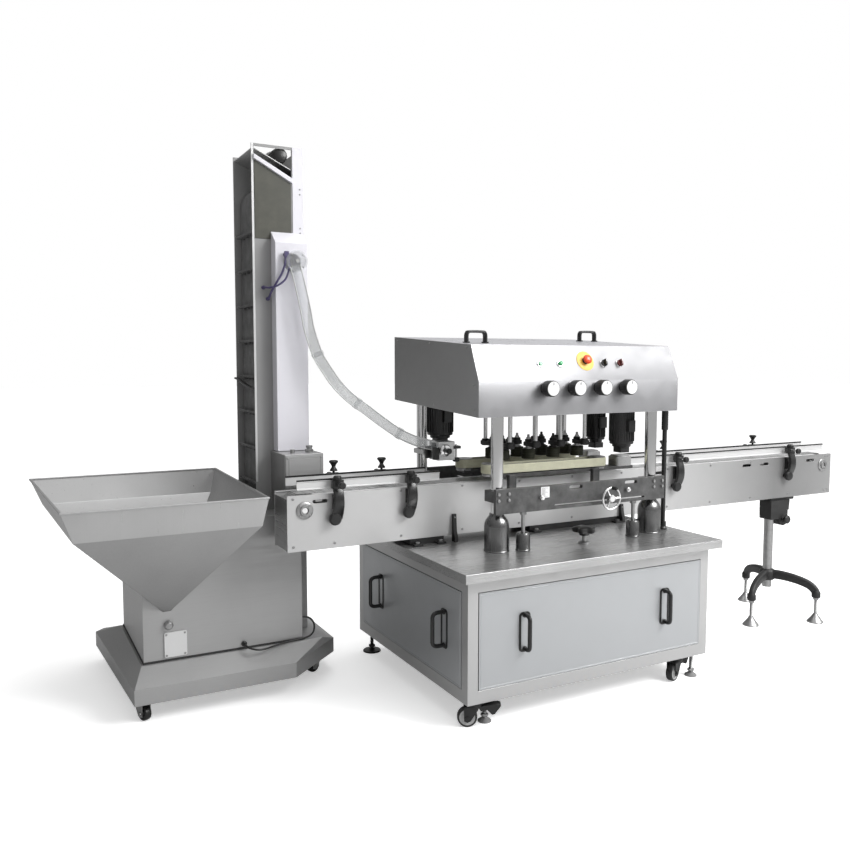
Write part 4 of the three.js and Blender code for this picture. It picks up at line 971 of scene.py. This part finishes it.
RAILS = {"infeed": (-480, 145, (-325, -5), (-262, -44)),
         "outfeed": (1180, 2560, (1460, 2262), (1550, 2206))}
ARM = {"front": ((88, 900), (97, 888), (108, 866), (116, 838), (116, 806), (107, 780), (96, 762),
                 (88, 750)),
       "rear": ((101, 904), (101, 888), (98, 864), (92, 842), (90, 820), (92, 796), (99, 770), (109, 748),
                (119, 730), (124, 723))}
brackets, knobs = Shape(), Shape()
for end, (x0, x1, front, rear) in RAILS.items():
    for row, side, places in (("front", -1, front), ("rear", 1, rear)):
        body = f"{end}_{row}_rail"
        face, back, plate, tip, tail = (CENTRE + side * d for d in (66, 72, 80.3, 100, 142))
        strip = Shape()
        strip.prism([(face, 868), (face, 903), (back, 903), (back, 899), (face + side * 2.5, 897),
                     (face + side * 2.5, 874), (back, 872), (back, 868)], "x", x0, x1)
        strip.prism([(face - side * 1.5, 901), (face - side * 1.5, 908), (back, 908), (back, 901)],
                    "x", x0, x1, 1)
        piece(f"{body}_strip", strip, body, ["line", "gloss_black"], 0.7, body)
        pins = Shape()
        for x in places:
            pins.rod((x, face + side * 2, 888), (x, tail, 888), 6)
            pins.box(x - 14, x + 14, face + side * 2, back + side * 5, 878, 898)
            pins.turned([(10, -2), (14, 2), (14, 14), (11, 17)], (x, tail, 888), (0, side, 0), 1, 20)
        piece(f"{body}_rods", pins, body, ["chrome", "black"], 0.6)
        for x in places:
            path = smooth_path([(x, CENTRE + side * y, z) for y, z in ARM[row]], 5)
            section = rounded(-21, 21, -8, 8, 4, 3)
            arm = Shape().tube(path, section, up=Y)
            for k, v in enumerate(arm.verts):
                grow = 0.86 + 0.26 * (k // len(section)) / (len(path) - 1)
                arm.verts[k] = Vector((x + (v.x - x) * grow, v.y, v.z))
            brackets.merge(arm)
            brackets.box(x - 15, x + 15, plate, CENTRE + side * 92, 788, 846)
            brackets.prism(rounded(x - 24, x + 24, CENTRE + side * 84, CENTRE + side * 116, 9),
                           "z", 872, 904)
            knobs.turned([(9, 0), (9, 5), (7, 7)], (x, CENTRE + side * 98, 818), (0, side, 0))
            knobs.rod((x, tip, 900), (x, tip, 918), 5)
            if row == "front":
                knobs.turned([(15, 902), (17, 905), (17, 914), (13, 920), (0, 921)], (x, tip, 0), sides=28)
                knobs.turned([(13, 0), (13, 10), (21, 14), (25, 20), (25, 30), (20, 36), (0, 38)],
                             (x - 12, plate, 752), (0, side, 0), sides=28)
            else:
                knobs.turned([(16, 912), (17, 915), (9, 926), (8, 932), (15, 944), (19, 948), (19, 953),
                              (15, 956)], (x, tip, 0), sides=28)
piece("rail_brackets", brackets, ROOT, "gloss_black")
piece("bracket_knobs", knobs, ROOT, "black")

# ---- conveyor stand ------------------------------------------------------------------------------

SX, SY, HUB = 2172, 498, 225
stand = Shape()
stand.prism(rounded(SX - 20, SX + 170, CENTRE - 74, CENTRE + 74, 12), "z", 618, 631.5)
stand.prism([(SX - 28, 620), (SX + 115, 620), (SX + 110, 566), (SX + 62, 548), (SX + 34, 520),
             (SX - 26, 520), (SX - 28, 566)], "y", SY - 36, SY + 40)
stand.prism([(SX + 46, 560), (SX + 110, 560), (SX + 110, 508), (SX + 98, 486), (SX + 76, 480),
             (SX + 54, 488), (SX + 46, 508)], "y", SY - 30, SY + 34)
stand.turned([(9, -1), (9, 14)], (SX + 78, SY - 30, 516), -Y, 1)
stand.turned([(18, 12), (22, 16), (22, 26), (17, 31)], (SX + 78, SY - 30, 516), -Y)
stand.rod((SX, SY, HUB - 74), (SX, SY, 524), 24, 1, 40)
stand.turned([(34, HUB - 34), (40, HUB - 26), (40, HUB + 10), (34, HUB + 20), (28, HUB + 24)], (SX, SY, 0))
for fx, fy in ((1938, 396), (2278, 275), (2270, 722)):
    path = smooth_path([(SX + part * (fx - SX), SY + part * (fy - SY), HUB - drop) for part, drop in
                        ((0, 4), (0.3, 4), (0.6, 14), (0.84, 32), (0.97, 58), (1, 84))], 6)
    leg = Shape().tube(path, rounded(-17, 17, -25, 25, 13, 5))
    rows = len(leg.verts) // len(path)
    for k, v in enumerate(leg.verts):
        centre, shrink = path[k // rows], 1.0 - 0.22 * (k // rows) / (len(path) - 1)
        leg.verts[k] = centre + (v - centre) * shrink
    stand.merge(leg)
    stand.turned([(20, HUB - 94), (22, HUB - 88), (22, HUB - 68), (16, HUB - 58)], (fx, fy, 0))
    stand.turned([(40, 0), (40, 5), (37, 9), (28, 20), (16, 36), (11, 46)], (fx, fy, 0), slot=1)
    stand.turned(thread(8, 40, HUB - 88), (fx, fy, 0), slot=1, sides=18)
    stand.nut((fx, fy, HUB - 106), Z, 26, 11, 1)
piece("stand_tripod", stand, ROOT, ["cast", "zinc"], 1.2, "conveyor_stand")

# ---- cap elevator --------------------------------------------------------------------------------

BX0, BX1, BY0, BY1 = -1125, -200, 612, 1440
FX0, FX1, FY0, FY1 = -1025, -388, 700, 1235
MX0, MX1, MY0, MY1, MZ1 = -535, -315, 840, 1120, 2250


def tray_loop(z, inset=0.0):
    a0, a1, b0, b1 = BX0 + inset, BX1 - inset, BY0 + inset, BY1 - inset
    return [(a0 + 50, b0, z), (a1 - 245, b0, z), (a1, b0 + 215, z), (a1, b1 - 170, z), (a1 - 170, b1, z),
            (a0 + 40, b1, z), (a0, b1 - 40, z)]


outer = tray_loop(142)
top = [(x, y, 204) for x, y in rect(FX0 - 12, MX1 + 12, FY0 - 12, FY1 + 12)]
tray = Shape()
o, t = list(range(7)), list(range(7, 11))
tray.add(outer + top, [[o[0], o[1], t[1], t[0]], [o[1], o[2], t[1]], [o[2], o[3], t[2], t[1]],
                       [o[3], o[4], t[2]], [o[4], o[5], t[3], t[2]], [o[5], o[6], t[3]],
                       [o[6], o[0], t[0], t[3]], t, o[::-1]])
skirt = Shape().loft([tray_loop(80), tray_loop(143.5)])
skirt = carve(skirt, Shape().loft([tray_loop(60, 4), tray_loop(139, 4)]))
piece("tray_skirt", skirt, ROOT, "elevator", 2.4, "elevator_base")
piece("tray_deck", tray, ROOT, "elevator", 2.0)

CASTERS = {"front_left": (-1040, 690, 25), "front_right": (-275, 850, -70), "rear_left": (-1040, 1320, 160),
           "rear_right": (-290, 1250, 60)}
for name, where in CASTERS.items():
    piece(f"elevator_fork_{name}", caster_fork(79.5, 30, 13, 20, False).moved(at(*where)),
          f"caster_fork_{name}", ["zinc", "cast"], 0.8, f"caster_fork_{name}")
    piece(f"elevator_wheel_{name}", caster_wheel(30, 13, 20).moved(at(*where)), f"caster_wheel_{name}",
          ["black", "black"], 0, f"caster_wheel_{name}")

RIM = ((-1316, 490), (-585, 490), (-557, 1450), (-1370, 1450))
HOP_FOLD = ((-1278, 490), (-612, 490), (-592, 1400), (-1325, 1400))
APEX = (-935, 712, 396)


CORNERS = rect(-1, 1, -1, 1)


def grown(corners, grow, z):
    return [(x + sx * grow, y + sy * grow, z) for (x, y), (sx, sy) in zip(corners, CORNERS)]


def tip_loop(grow, z):
    return [(APEX[0] + sx * (10 + grow), APEX[1] + (-8 - grow if sy < 0 else 52 + grow), z)
            for sx, sy in CORNERS]


def hop_volume(grow, lid=0.0):
    loops = [tip_loop(max(grow, -6), APEX[2] - grow), grown(HOP_FOLD, grow, 742), grown(RIM, grow, 850)]
    if lid:
        loops.append(grown(RIM, grow, 850 + lid))
    return Shape().loft(loops)


pan = carve(hop_volume(0), hop_volume(-4, 10), Shape().box(MX0 - 1, MX1 + 1, MY0 - 1, MY1 + 1, 0, MZ1),
            Shape().box(-471, -303, 654, MY0, 799, 990))
shell = piece("hopper_pan", pan, ROOT, ["hopper", "hopper_painted_shade"], 1.6, "hopper")
# Faces that slope downwards take the darker copy of the hopper steel: painted shade.
paint(shell, lambda n: 1 if -0.9 < n.z < -0.3 else 0)
rim = Shape().prism([p[:2] for p in grown(RIM, 2, 0)], "z", 843, 851,
                    hole=[p[:2] for p in grown(RIM, -8, 0)])
piece("hopper_rim", rim, ROOT, "hopper", 2.2)
tip = Shape()
tip.turned([(15, 0), (17, 3), (17, 16), (12, 22)], (APEX[0] + 4, 700, 348), -Y)
tip.prism(rounded(-948, -862, 220, 318, 6), "y", 693.5, 699.5, 1)
for x in (-940, -870):
    for z in (228, 310):
        tip.screw((x, 693.5, z), -Y, 4.2)
piece("gate_plate", tip, ROOT, ["zinc", "line"], 0.8)

box = carve(Shape().box(FX0, FX1, FY0, FY1, 204.3, 738),
            Shape().box(FX0 + 3, FX1 - 3, FY0 + 3, FY1 - 3, 190, 735), hop_volume(0.6),
            Shape().box(MX0 - 0.3, FX1 + 5, MY0 - 0.3, MY1 + 0.3, 190, 745))
piece("elevator_box", box, ROOT, "elevator", 2.4, "elevator_cabinet", segments=3)
plinth = Shape().border(FX0 - 3, FX1 + 3, FY0 - 3, FY1 + 3, "z", 203, 212, 4)
piece("elevator_seam", plinth, ROOT, "groove", 1.0)

mast = carve(
    Shape().box(MX0, MX1, MY0, MY1, 204.3, MZ1),
    Shape().box(MX0 - 5, MX1 - 3, MY0 + 3, MY1 - 3, 190, MZ1 + 5),
    Shape().prism([(MX0 + 12, MZ1 - 44), (MX1 - 50, MZ1 - 130), (MX1 - 50, MZ1 - 12), (MX0 + 12, MZ1 - 12)],
                  "y", MY0 - 5, MY0 + 4),
)
piece("mast_channel", mast, ROOT, "mast", 1.6, "elevator_mast")
flange = Shape().prism([(MX0 + 8, MZ1 - 44), (MX1 - 48, MZ1 - 130), (MX1 - 48, MZ1 - 150),
                        (MX0 + 8, MZ1 - 62)], "y", MY0 - 14, MY0 + 2)
piece("discharge_lip", flange, ROOT, "cover", 1.4)
pane = Shape().prism([(MX0 + 12, 1868), (MX1 - 52, 1868), (MX1 - 52, MZ1 - 152), (MX0 + 12, MZ1 - 66)],
                     "y", MY0 - 3, MY0)
piece("smoked_pane", pane, ROOT, "window", 0.8)
strip = Shape().box(MX1 - 46, MX1, MY0 - 2.5, MY0, 780, MZ1 - 1)
strip.box(MX0, MX0 + 9, MY0 - 2, MY0, 860, MZ1 - 1, 1)
piece("mast_edges", strip, ROOT, ["cover", "line"], 0.8)
strap = Shape().tube(smooth_path([(MX0 - 3, MY1 - 1, 1289), (MX0 - 6, 1060, 1284), (MX0 - 7, 960, 1266),
                                  (MX0 - 6, 880, 1255), (MX0 - 3, MY0 + 1, 1252)], 4),
                     rounded(-4, 4, -8, 8, 3, 3), up=X)
piece("mast_strap", strap, ROOT, "black")
tail = Shape().turned([(57, 2), (57, 278)], (-446, MY0, 320), Y, sides=40)
tail.box(MX0, MX1 - 3, MY0 + 3, MY1 - 3, 204.5, 208)
piece("mast_tail_drum", tail, ROOT, "steel_y")
rivets = Shape()
for z in range(300, 2200, 160):
    for y in (MY0 + 22, MY1 - 22):
        rivets.screw((MX1, y, z), X, 4.2)
    rivets.screw((MX1 - 14, MY0 - 2.5, z + 500 if z < 1700 else z), -Y, 3.6)
    rivets.screw((MX0 + 60, MY1, z), Y, 4.2)
    rivets.screw((MX1 - 60, MY1, z), Y, 4.2)
piece("mast_screws", rivets, ROOT, "zinc")

CX0, CX1, CY0, CZ0, CZB, CZF = -457, -320, 780, 990, 1900, 1850
GX, GZ, GR = -385, 1770, 40
duct = [(CY0, CZ0), (MY0 - 0.3, CZ0), (MY0 - 0.3, CZB), (CY0, CZF)]
duct_in = [(CY0 + 3, CZ0 + 3), (MY0 + 5, CZ0 + 3), (MY0 + 5, CZB - 3), (CY0 + 3, CZF - 3)]
cover = carve(Shape().prism(duct, "x", CX0, CX1), Shape().prism(duct_in, "x", CX0 + 3, CX1 - 3),
              Shape().turned([(GR - 3, 0), (GR - 3, 20)], (GX, CY0 - 8, GZ), Y, sides=40))
piece("mast_cover_duct", cover, ROOT, "cover", 2.2, "mast_cover", segments=3)
BZ0, BY = 800, 655
control = Shape().box(-470, -304, BY, MY0 - 0.3, BZ0, 988)
shell = piece("control_box", control, ROOT, ["elevator", "casing_side"], 2.4, segments=3)
# The left face takes the darker casing_side steel: painted shade.
paint(shell, lambda n: 1 if n.x < -0.9 else 0)
lid = carve(Shape().box(-466, -308, BY - 5, BY + 2, BZ0 + 6, 982),
            Shape().border(-455, -319, BZ0 + 16, 972, "y", BY - 8, BY - 3.6, 1.5))
piece("control_box_lid", lid, ROOT, "elevator", 1.4)
fitting = Shape().turned([(16, 988), (16, 994), (11, 996), (11, 1006), (14, 1008), (14, 1016)],
                         (-345, 712, 0))
fitting.nut((-345, 712, 994), Z, 30, 7)
fitting.rod((-420, 705, 987), (-420, 705, 1004), 9)
for x in (-458, -316):
    for z in (BZ0 + 14, 974):
        fitting.screw((x, BY - 5, z), -Y, 4.0)
piece("control_box_fittings", fitting, ROOT, "zinc")


def hose(name, points, width, key):
    """A round flexible line through these points, swept as one fixed piece on the machine."""
    line = smooth_path(points, 7)
    obj = piece(name, Shape().tube(line, circle(width / 2, 14)), ROOT, key)


unions = Shape().turned([(9, 0.2), (9, 6), (7, 8), (7, 16)], (-416, CY0, 1800), -Y, sides=24)
for x, z in ((-474, 1622), (-492, 1668)):
    unions.turned([(8, 0.2), (8, 8), (6.5, 10), (6.5, 15)], (x, MY0, z), -Y, sides=24)
unions.box(-425, -407, CY0 - 26, CY0 - 14, 1786, 1812)
piece("air_unions", unions, ROOT, "hose", 0.6)
hose("air_hose_long", [(-420, 760, 1788), (-424, 756, 1760), (-438, 756, 1722), (-456, 768, 1686),
                       (-470, 792, 1652), (-474, 810, 1632), (-474, 824, 1622)], 9, "hose")
hose("air_hose_short", [(-411, 760, 1788), (-408, 752, 1752), (-418, 744, 1716), (-432, 742, 1692),
                        (-456, 752, 1672), (-480, 782, 1664), (-490, 806, 1666), (-492, 824, 1668)],
     8, "hose")
glands = Shape().turned([(11, 0.2), (11, 7), (8, 9), (8, 16)], (-636, FY0, 226), -Y, 0, 24)
glands.turned([(11, 0.2), (11, 7), (8, 9), (8, 14)], (FX1, 772, 276), X, 0, 24)
piece("lead_glands", glands, ROOT, "black")
hose("power_lead", [(-636, 684, 226), (-635.5, 672, 225.5), (-632, 658, 223), (-622, 645, 219),
                    (-606, 637, 215), (-586, 636, 211.5), (-560, 643, 209.6), (-525, 658, 209.5),
                    (-485, 673, 209.5), (-445, 684, 209.5), (-412, 689, 209.8), (-380, 693, 211),
                    (-355, 699, 215), (-337, 710, 224), (-326, 726, 236), (-322, 742, 250),
                    (-326, 756, 262), (-336, 766, 270), (-350, 771, 275), (-374, 772, 276)], 8, "black")

# cleated belt: a band with ribs, and cleats with a rib along each edge
BELTX, BR, BZL, BZH = -446, 62, 320, 2040


def belt_loop(r):
    half = [(r * cos(pi * i / 24), r * sin(pi * i / 24)) for i in range(25)]
    return [(BELTX + u, BZH + v) for u, v in half] + [(BELTX - u, BZL - v) for u, v in half]


ymid = (MY0 + MY1) / 2
band = Shape().prism(belt_loop(BR), "y", ymid - 128, ymid + 128, hole=belt_loop(BR - 4))
for i in range(int((BZH - BZL) / 150)):
    z = BZL + (i + 0.5) * 150
    for out in (-1, 1):
        root, heel, lip, tip = (BELTX + out * (BR + d) for d in (-2, 12, 19, 22))
        band.box(root, tip, ymid - 122, ymid + 122, z, z + 4)
        band.box(lip, tip, ymid - 122, ymid + 122, z + 3, z + 9)
        for y in (ymid - 60, ymid, ymid + 60):
            band.box(BELTX + out * BR, heel, y - 2, y + 2, z - 10, z + 1)
piece("belt_band", band, ROOT, "elevator_belt", 0, "cleated_belt")
drum = Shape().turned([(56, -126), (57.2, -118), (57.2, 118), (56, 126)], (BELTX, ymid, BZH), Y, 0, 40)
drum.rod((BELTX, ymid - 138, BZH), (BELTX, ymid + 138, BZH), 10)
piece("belt_drum", drum, "belt_drive", "steel_y", 0, "belt_drive_roller")

hood = Shape().prism([(MX0 + 8, MZ1 - 14), (MX1 - 3.5, MZ1 - 112), (MX1 - 3.5, MZ1 - 116),
                      (MX0 + 8, MZ1 - 18)], "y", MY0 + 3.5, MY1 - 3.5)
piece("hood_plate", hood, ROOT, "steel_y", 0.8, "discharge_hood")
DX, DZ = BELTX + 39, MZ1 - 50
drive = Shape()
drive.prism(rounded(DX - 34, DX + 34, DZ - 22, DZ + 42, 10), "y", MY0 + 73, MY0 + 153)
drive.turned([(20, 7), (28, 10), (30, 14), (30, 78)], (DX, MY0, DZ + 16), Y, 1)
motor_place = Matrix.Translation((DX, MY0, DZ + 16)) @ Matrix.Rotation(-TAU / 4, 4, "X")
for a in turns(16):
    drive.merge(Shape().box(28, 33, -1, 1, 18, 70, 1).moved(motor_place @ Matrix.Rotation(a, 4, "Z")))
piece("elevator_motor", drive, ROOT, ["steel_y", "motor"], 0.8)

# clear chute, its round head at the cover and the placing block over the line

ROUTE = [(-385, 744, 1752), (-367, 738, 1676), (-347, 731, 1573), (-333, 726, 1491), (-302, 716, 1392),
         (-266, 704, 1326), (-225, 690, 1264), (-173, 672, 1208), (-109, 650, 1157), (-45, 628, 1105),
         (19, 606, 1059), (96, 580, 1022), (185, 550, 1000)]
path = smooth_path(ROUTE, 5)
SIDE = Vector((0.32, 0.95, 0)).normalized()


def chute_frame(i):
    """A point of the chute's path, the direction there, the two across it and the taper."""
    along = (path[min(i + 1, len(path) - 1)] - path[max(i - 1, 0)]).normalized()
    across = (SIDE - along * SIDE.dot(along)).normalized()
    return path[i], along, across, across.cross(along), 1.0 if i < 30 else 1.0 - 0.12 * (i - 30) / 30


def chute_loops(half, deep):
    loops = []
    for p, _, across, up, taper in map(chute_frame, range(len(path))):
        section = rounded(-deep, deep, -half, half, 4, 2)
        loops.append([p + across * (s * taper) + up * (t * taper) for s, t in section])
    return loops


tube = Shape().loft(chute_loops(22, 27) + chute_loops(20, 25)[::-1], around=True)
piece("chute_tube", tube, ROOT, "clear", 0, "cap_chute", angle=50)
edges = Shape()
for sy, sz in CORNERS:
    line = [p + across * (sy * 25.5 * taper) + up * (sz * 20.5 * taper)
            for p, _, across, up, taper in map(chute_frame, range(len(path)))]
    edges.tube(line, circle(2.2, 8))
piece("chute_edges", edges, ROOT, "chute_rim")
bands = Shape()
for i in (20, 37, 50):
    p, along, across, up, _ = chute_frame(i)
    outside, inside = rounded(-29, 29, -25, 25, 5, 3), rounded(-26, 26, -22, 22, 4, 3)
    bands.loft([[p + along * h + across * s + up * t for s, t in section]
                for section, h in ((outside, -9), (outside, 9), (inside, 9), (inside, -9))], around=True)
piece("chute_bands", bands, ROOT, "clear", 0.8)
spigot = Shape().turned([(GR + 4, 66), (GR + 4, 63), (GR, 62), (GR, 0.5)], (GX, CY0, GZ), -Y, 0, 44, GR - 3)
spigot.turned([(GR - 2, 63), (GR - 2, 66.5)], (GX, CY0, GZ), -Y, 0, 44)
spigot.turned([(8, 66), (8, 69)], (GX, CY0, GZ), -Y, 1, 20)
for a in turns(4, 0.5):
    spigot.screw((GX + 34 * cos(a), CY0 - 66.5, GZ + 34 * sin(a)), -Y, 3.6, 1)
piece("chute_head", spigot, ROOT, ["clear", "zinc"])

EX, EY = 185, 550
block = carve(Shape().box(EX - 30, EX + 50, EY - 40, EY + 40, 945, 1024),
              Shape().box(EX - 22, EX + 34, EY - 26, EY + 26, 930, 1016),
              Shape().box(EX - 40, EX - 10, EY - 20, EY + 20, 975, 1018))
block.merge(Shape().box(EX - 60, EX + 70, EY + 38, EY + 130, 965, 985))
piece("placing_block", block, ROOT, "steel", 1.2)
jaws = Shape()
for side in (-1, 1):
    jaws.prism(rounded(EX - 52, EX - 24, EY + side * 34 - 9, EY + side * 34 + 9, 5), "z", 950, 1002)
    jaws.turned([(13, 936), (15, 939), (15, 950), (12, 954)], (EX + 62, EY + side * 30, 0))
    jaws.rod((EX + 62, EY + side * 30, 950), (EX + 62, EY + side * 30, 1010), 5, 1)
jaws.box(EX + 44, EX + 78, EY - 44, EY + 44, 992, 1004)
jaws.turned([(24, 0), (26, 3), (26, 12), (22, 16), (12, 18)], (EX, EY - 40, 988), -Y, 1, 36)
jaws.turned([(9, 16), (9, 30), (12, 32), (12, 44), (9, 47)], (EX, EY - 40, 988), -Y, 0, 24)
piece("placing_jaws", jaws, ROOT, ["gloss_black", "chrome"], 0.8)
POST = (EX - 20, EY + 118)
post = Shape().rod((*POST, FLOOR), (*POST, 1000), 12, 0, 32)
post.turned([(34, FLOOR), (34, FLOOR + 6), (18, FLOOR + 16)], (*POST, 0))
post.turned([(22, 958), (22, 992)], (*POST, 0), slot=1)
piece("placing_post", post, ROOT, ["chrome", "cast"])

# ---- floor, light --------------------------------------------------------------------------------

def studio_floor():
    """Pale floor, a little darker in reflections than to the eye."""
    n = Nodes("pale_floor")
    seen = n.node("LightPath").outputs["Is Camera Ray"]
    n.set(Base_Color=n.ramp(seen, [(0.0, srgb(208)), (1.0, srgb(250))]), Roughness=0.8,
          Specular_IOR_Level=0.0, Emission_Color=(1, 1, 1, 1),
          Emission_Strength=n.remap(seen, 0.0, 0.42, 0.0, 1.0))
    mesh = bpy.data.meshes.new("floor")
    mesh.from_pydata([(-40, -40, 0), (40, -40, 0), (40, 40, 0), (-40, 40, 0)], [], [[0, 1, 2, 3]])
    mesh.materials.append(n.material)
    floor = bpy.data.objects.new("floor", mesh)
    bpy.context.scene.collection.objects.link(floor)


def studio_world():
    """White to the eye; as light, brighter from the front right and above than from the rear left."""
    world = bpy.data.worlds.new("studio")
    world.use_nodes = True
    bpy.context.scene.world = world
    tree = world.node_tree
    direction = add_node(tree, "TexCoord").outputs["Generated"]
    brightest = Vector((0.5, -0.42, 0.75)).normalized()
    dot = add_node(tree, "VectorMath", {0: direction, 1: brightest}, operation="DOT_PRODUCT")
    lift = add_node(tree, "Math", {0: dot.outputs["Value"], 1: 0.5, 2: 0.5}, operation="MULTIPLY_ADD")
    tones = [(0.0, 0.12), (0.2, 0.15), (0.5, 0.38), (0.82, 0.62), (0.92, 1.05), (1.0, 1.25)]
    sky = color_ramp(tree, lift.outputs["Value"], [(position, [tone] * 3) for position, tone in tones])
    mix = add_node(tree, "Mix", data_type="RGBA")
    seen = add_node(tree, "LightPath").outputs["Is Camera Ray"]
    tree.links.new(seen, mix.inputs["Factor"])
    tree.links.new(sky, mix.inputs["A"])
    mix.inputs["B"].default_value = (1, 1, 1, 1)
    tree.links.new(mix.outputs["Result"], tree.nodes["Background"].inputs["Color"])


def softbox(name, place, target, size, power):
    light = bpy.data.objects.new(name, bpy.data.lights.new(name, "AREA"))
    light.data.shape = "RECTANGLE"
    light.data.size, light.data.size_y = size
    light.data.energy = power
    light.location = place
    light.rotation_euler = (Vector(target) - Vector(place)).to_track_quat("-Z", "Y").to_euler()
    bpy.context.scene.collection.objects.link(light)


studio_floor()
studio_world()
softbox("key", (3.2, -3.6, 4.4), (0.0, -0.3, 1.0), (3.2, 2.6), 210)
softbox("front", (2.0, -3.6, 3.4), (2.2, -2.6, 0.0), (3.0, 2.0), 130)
softbox("top", (0.0, 0.5, 5.0), (0.0, 0.0, 0.0), (4.5, 3.0), 80)
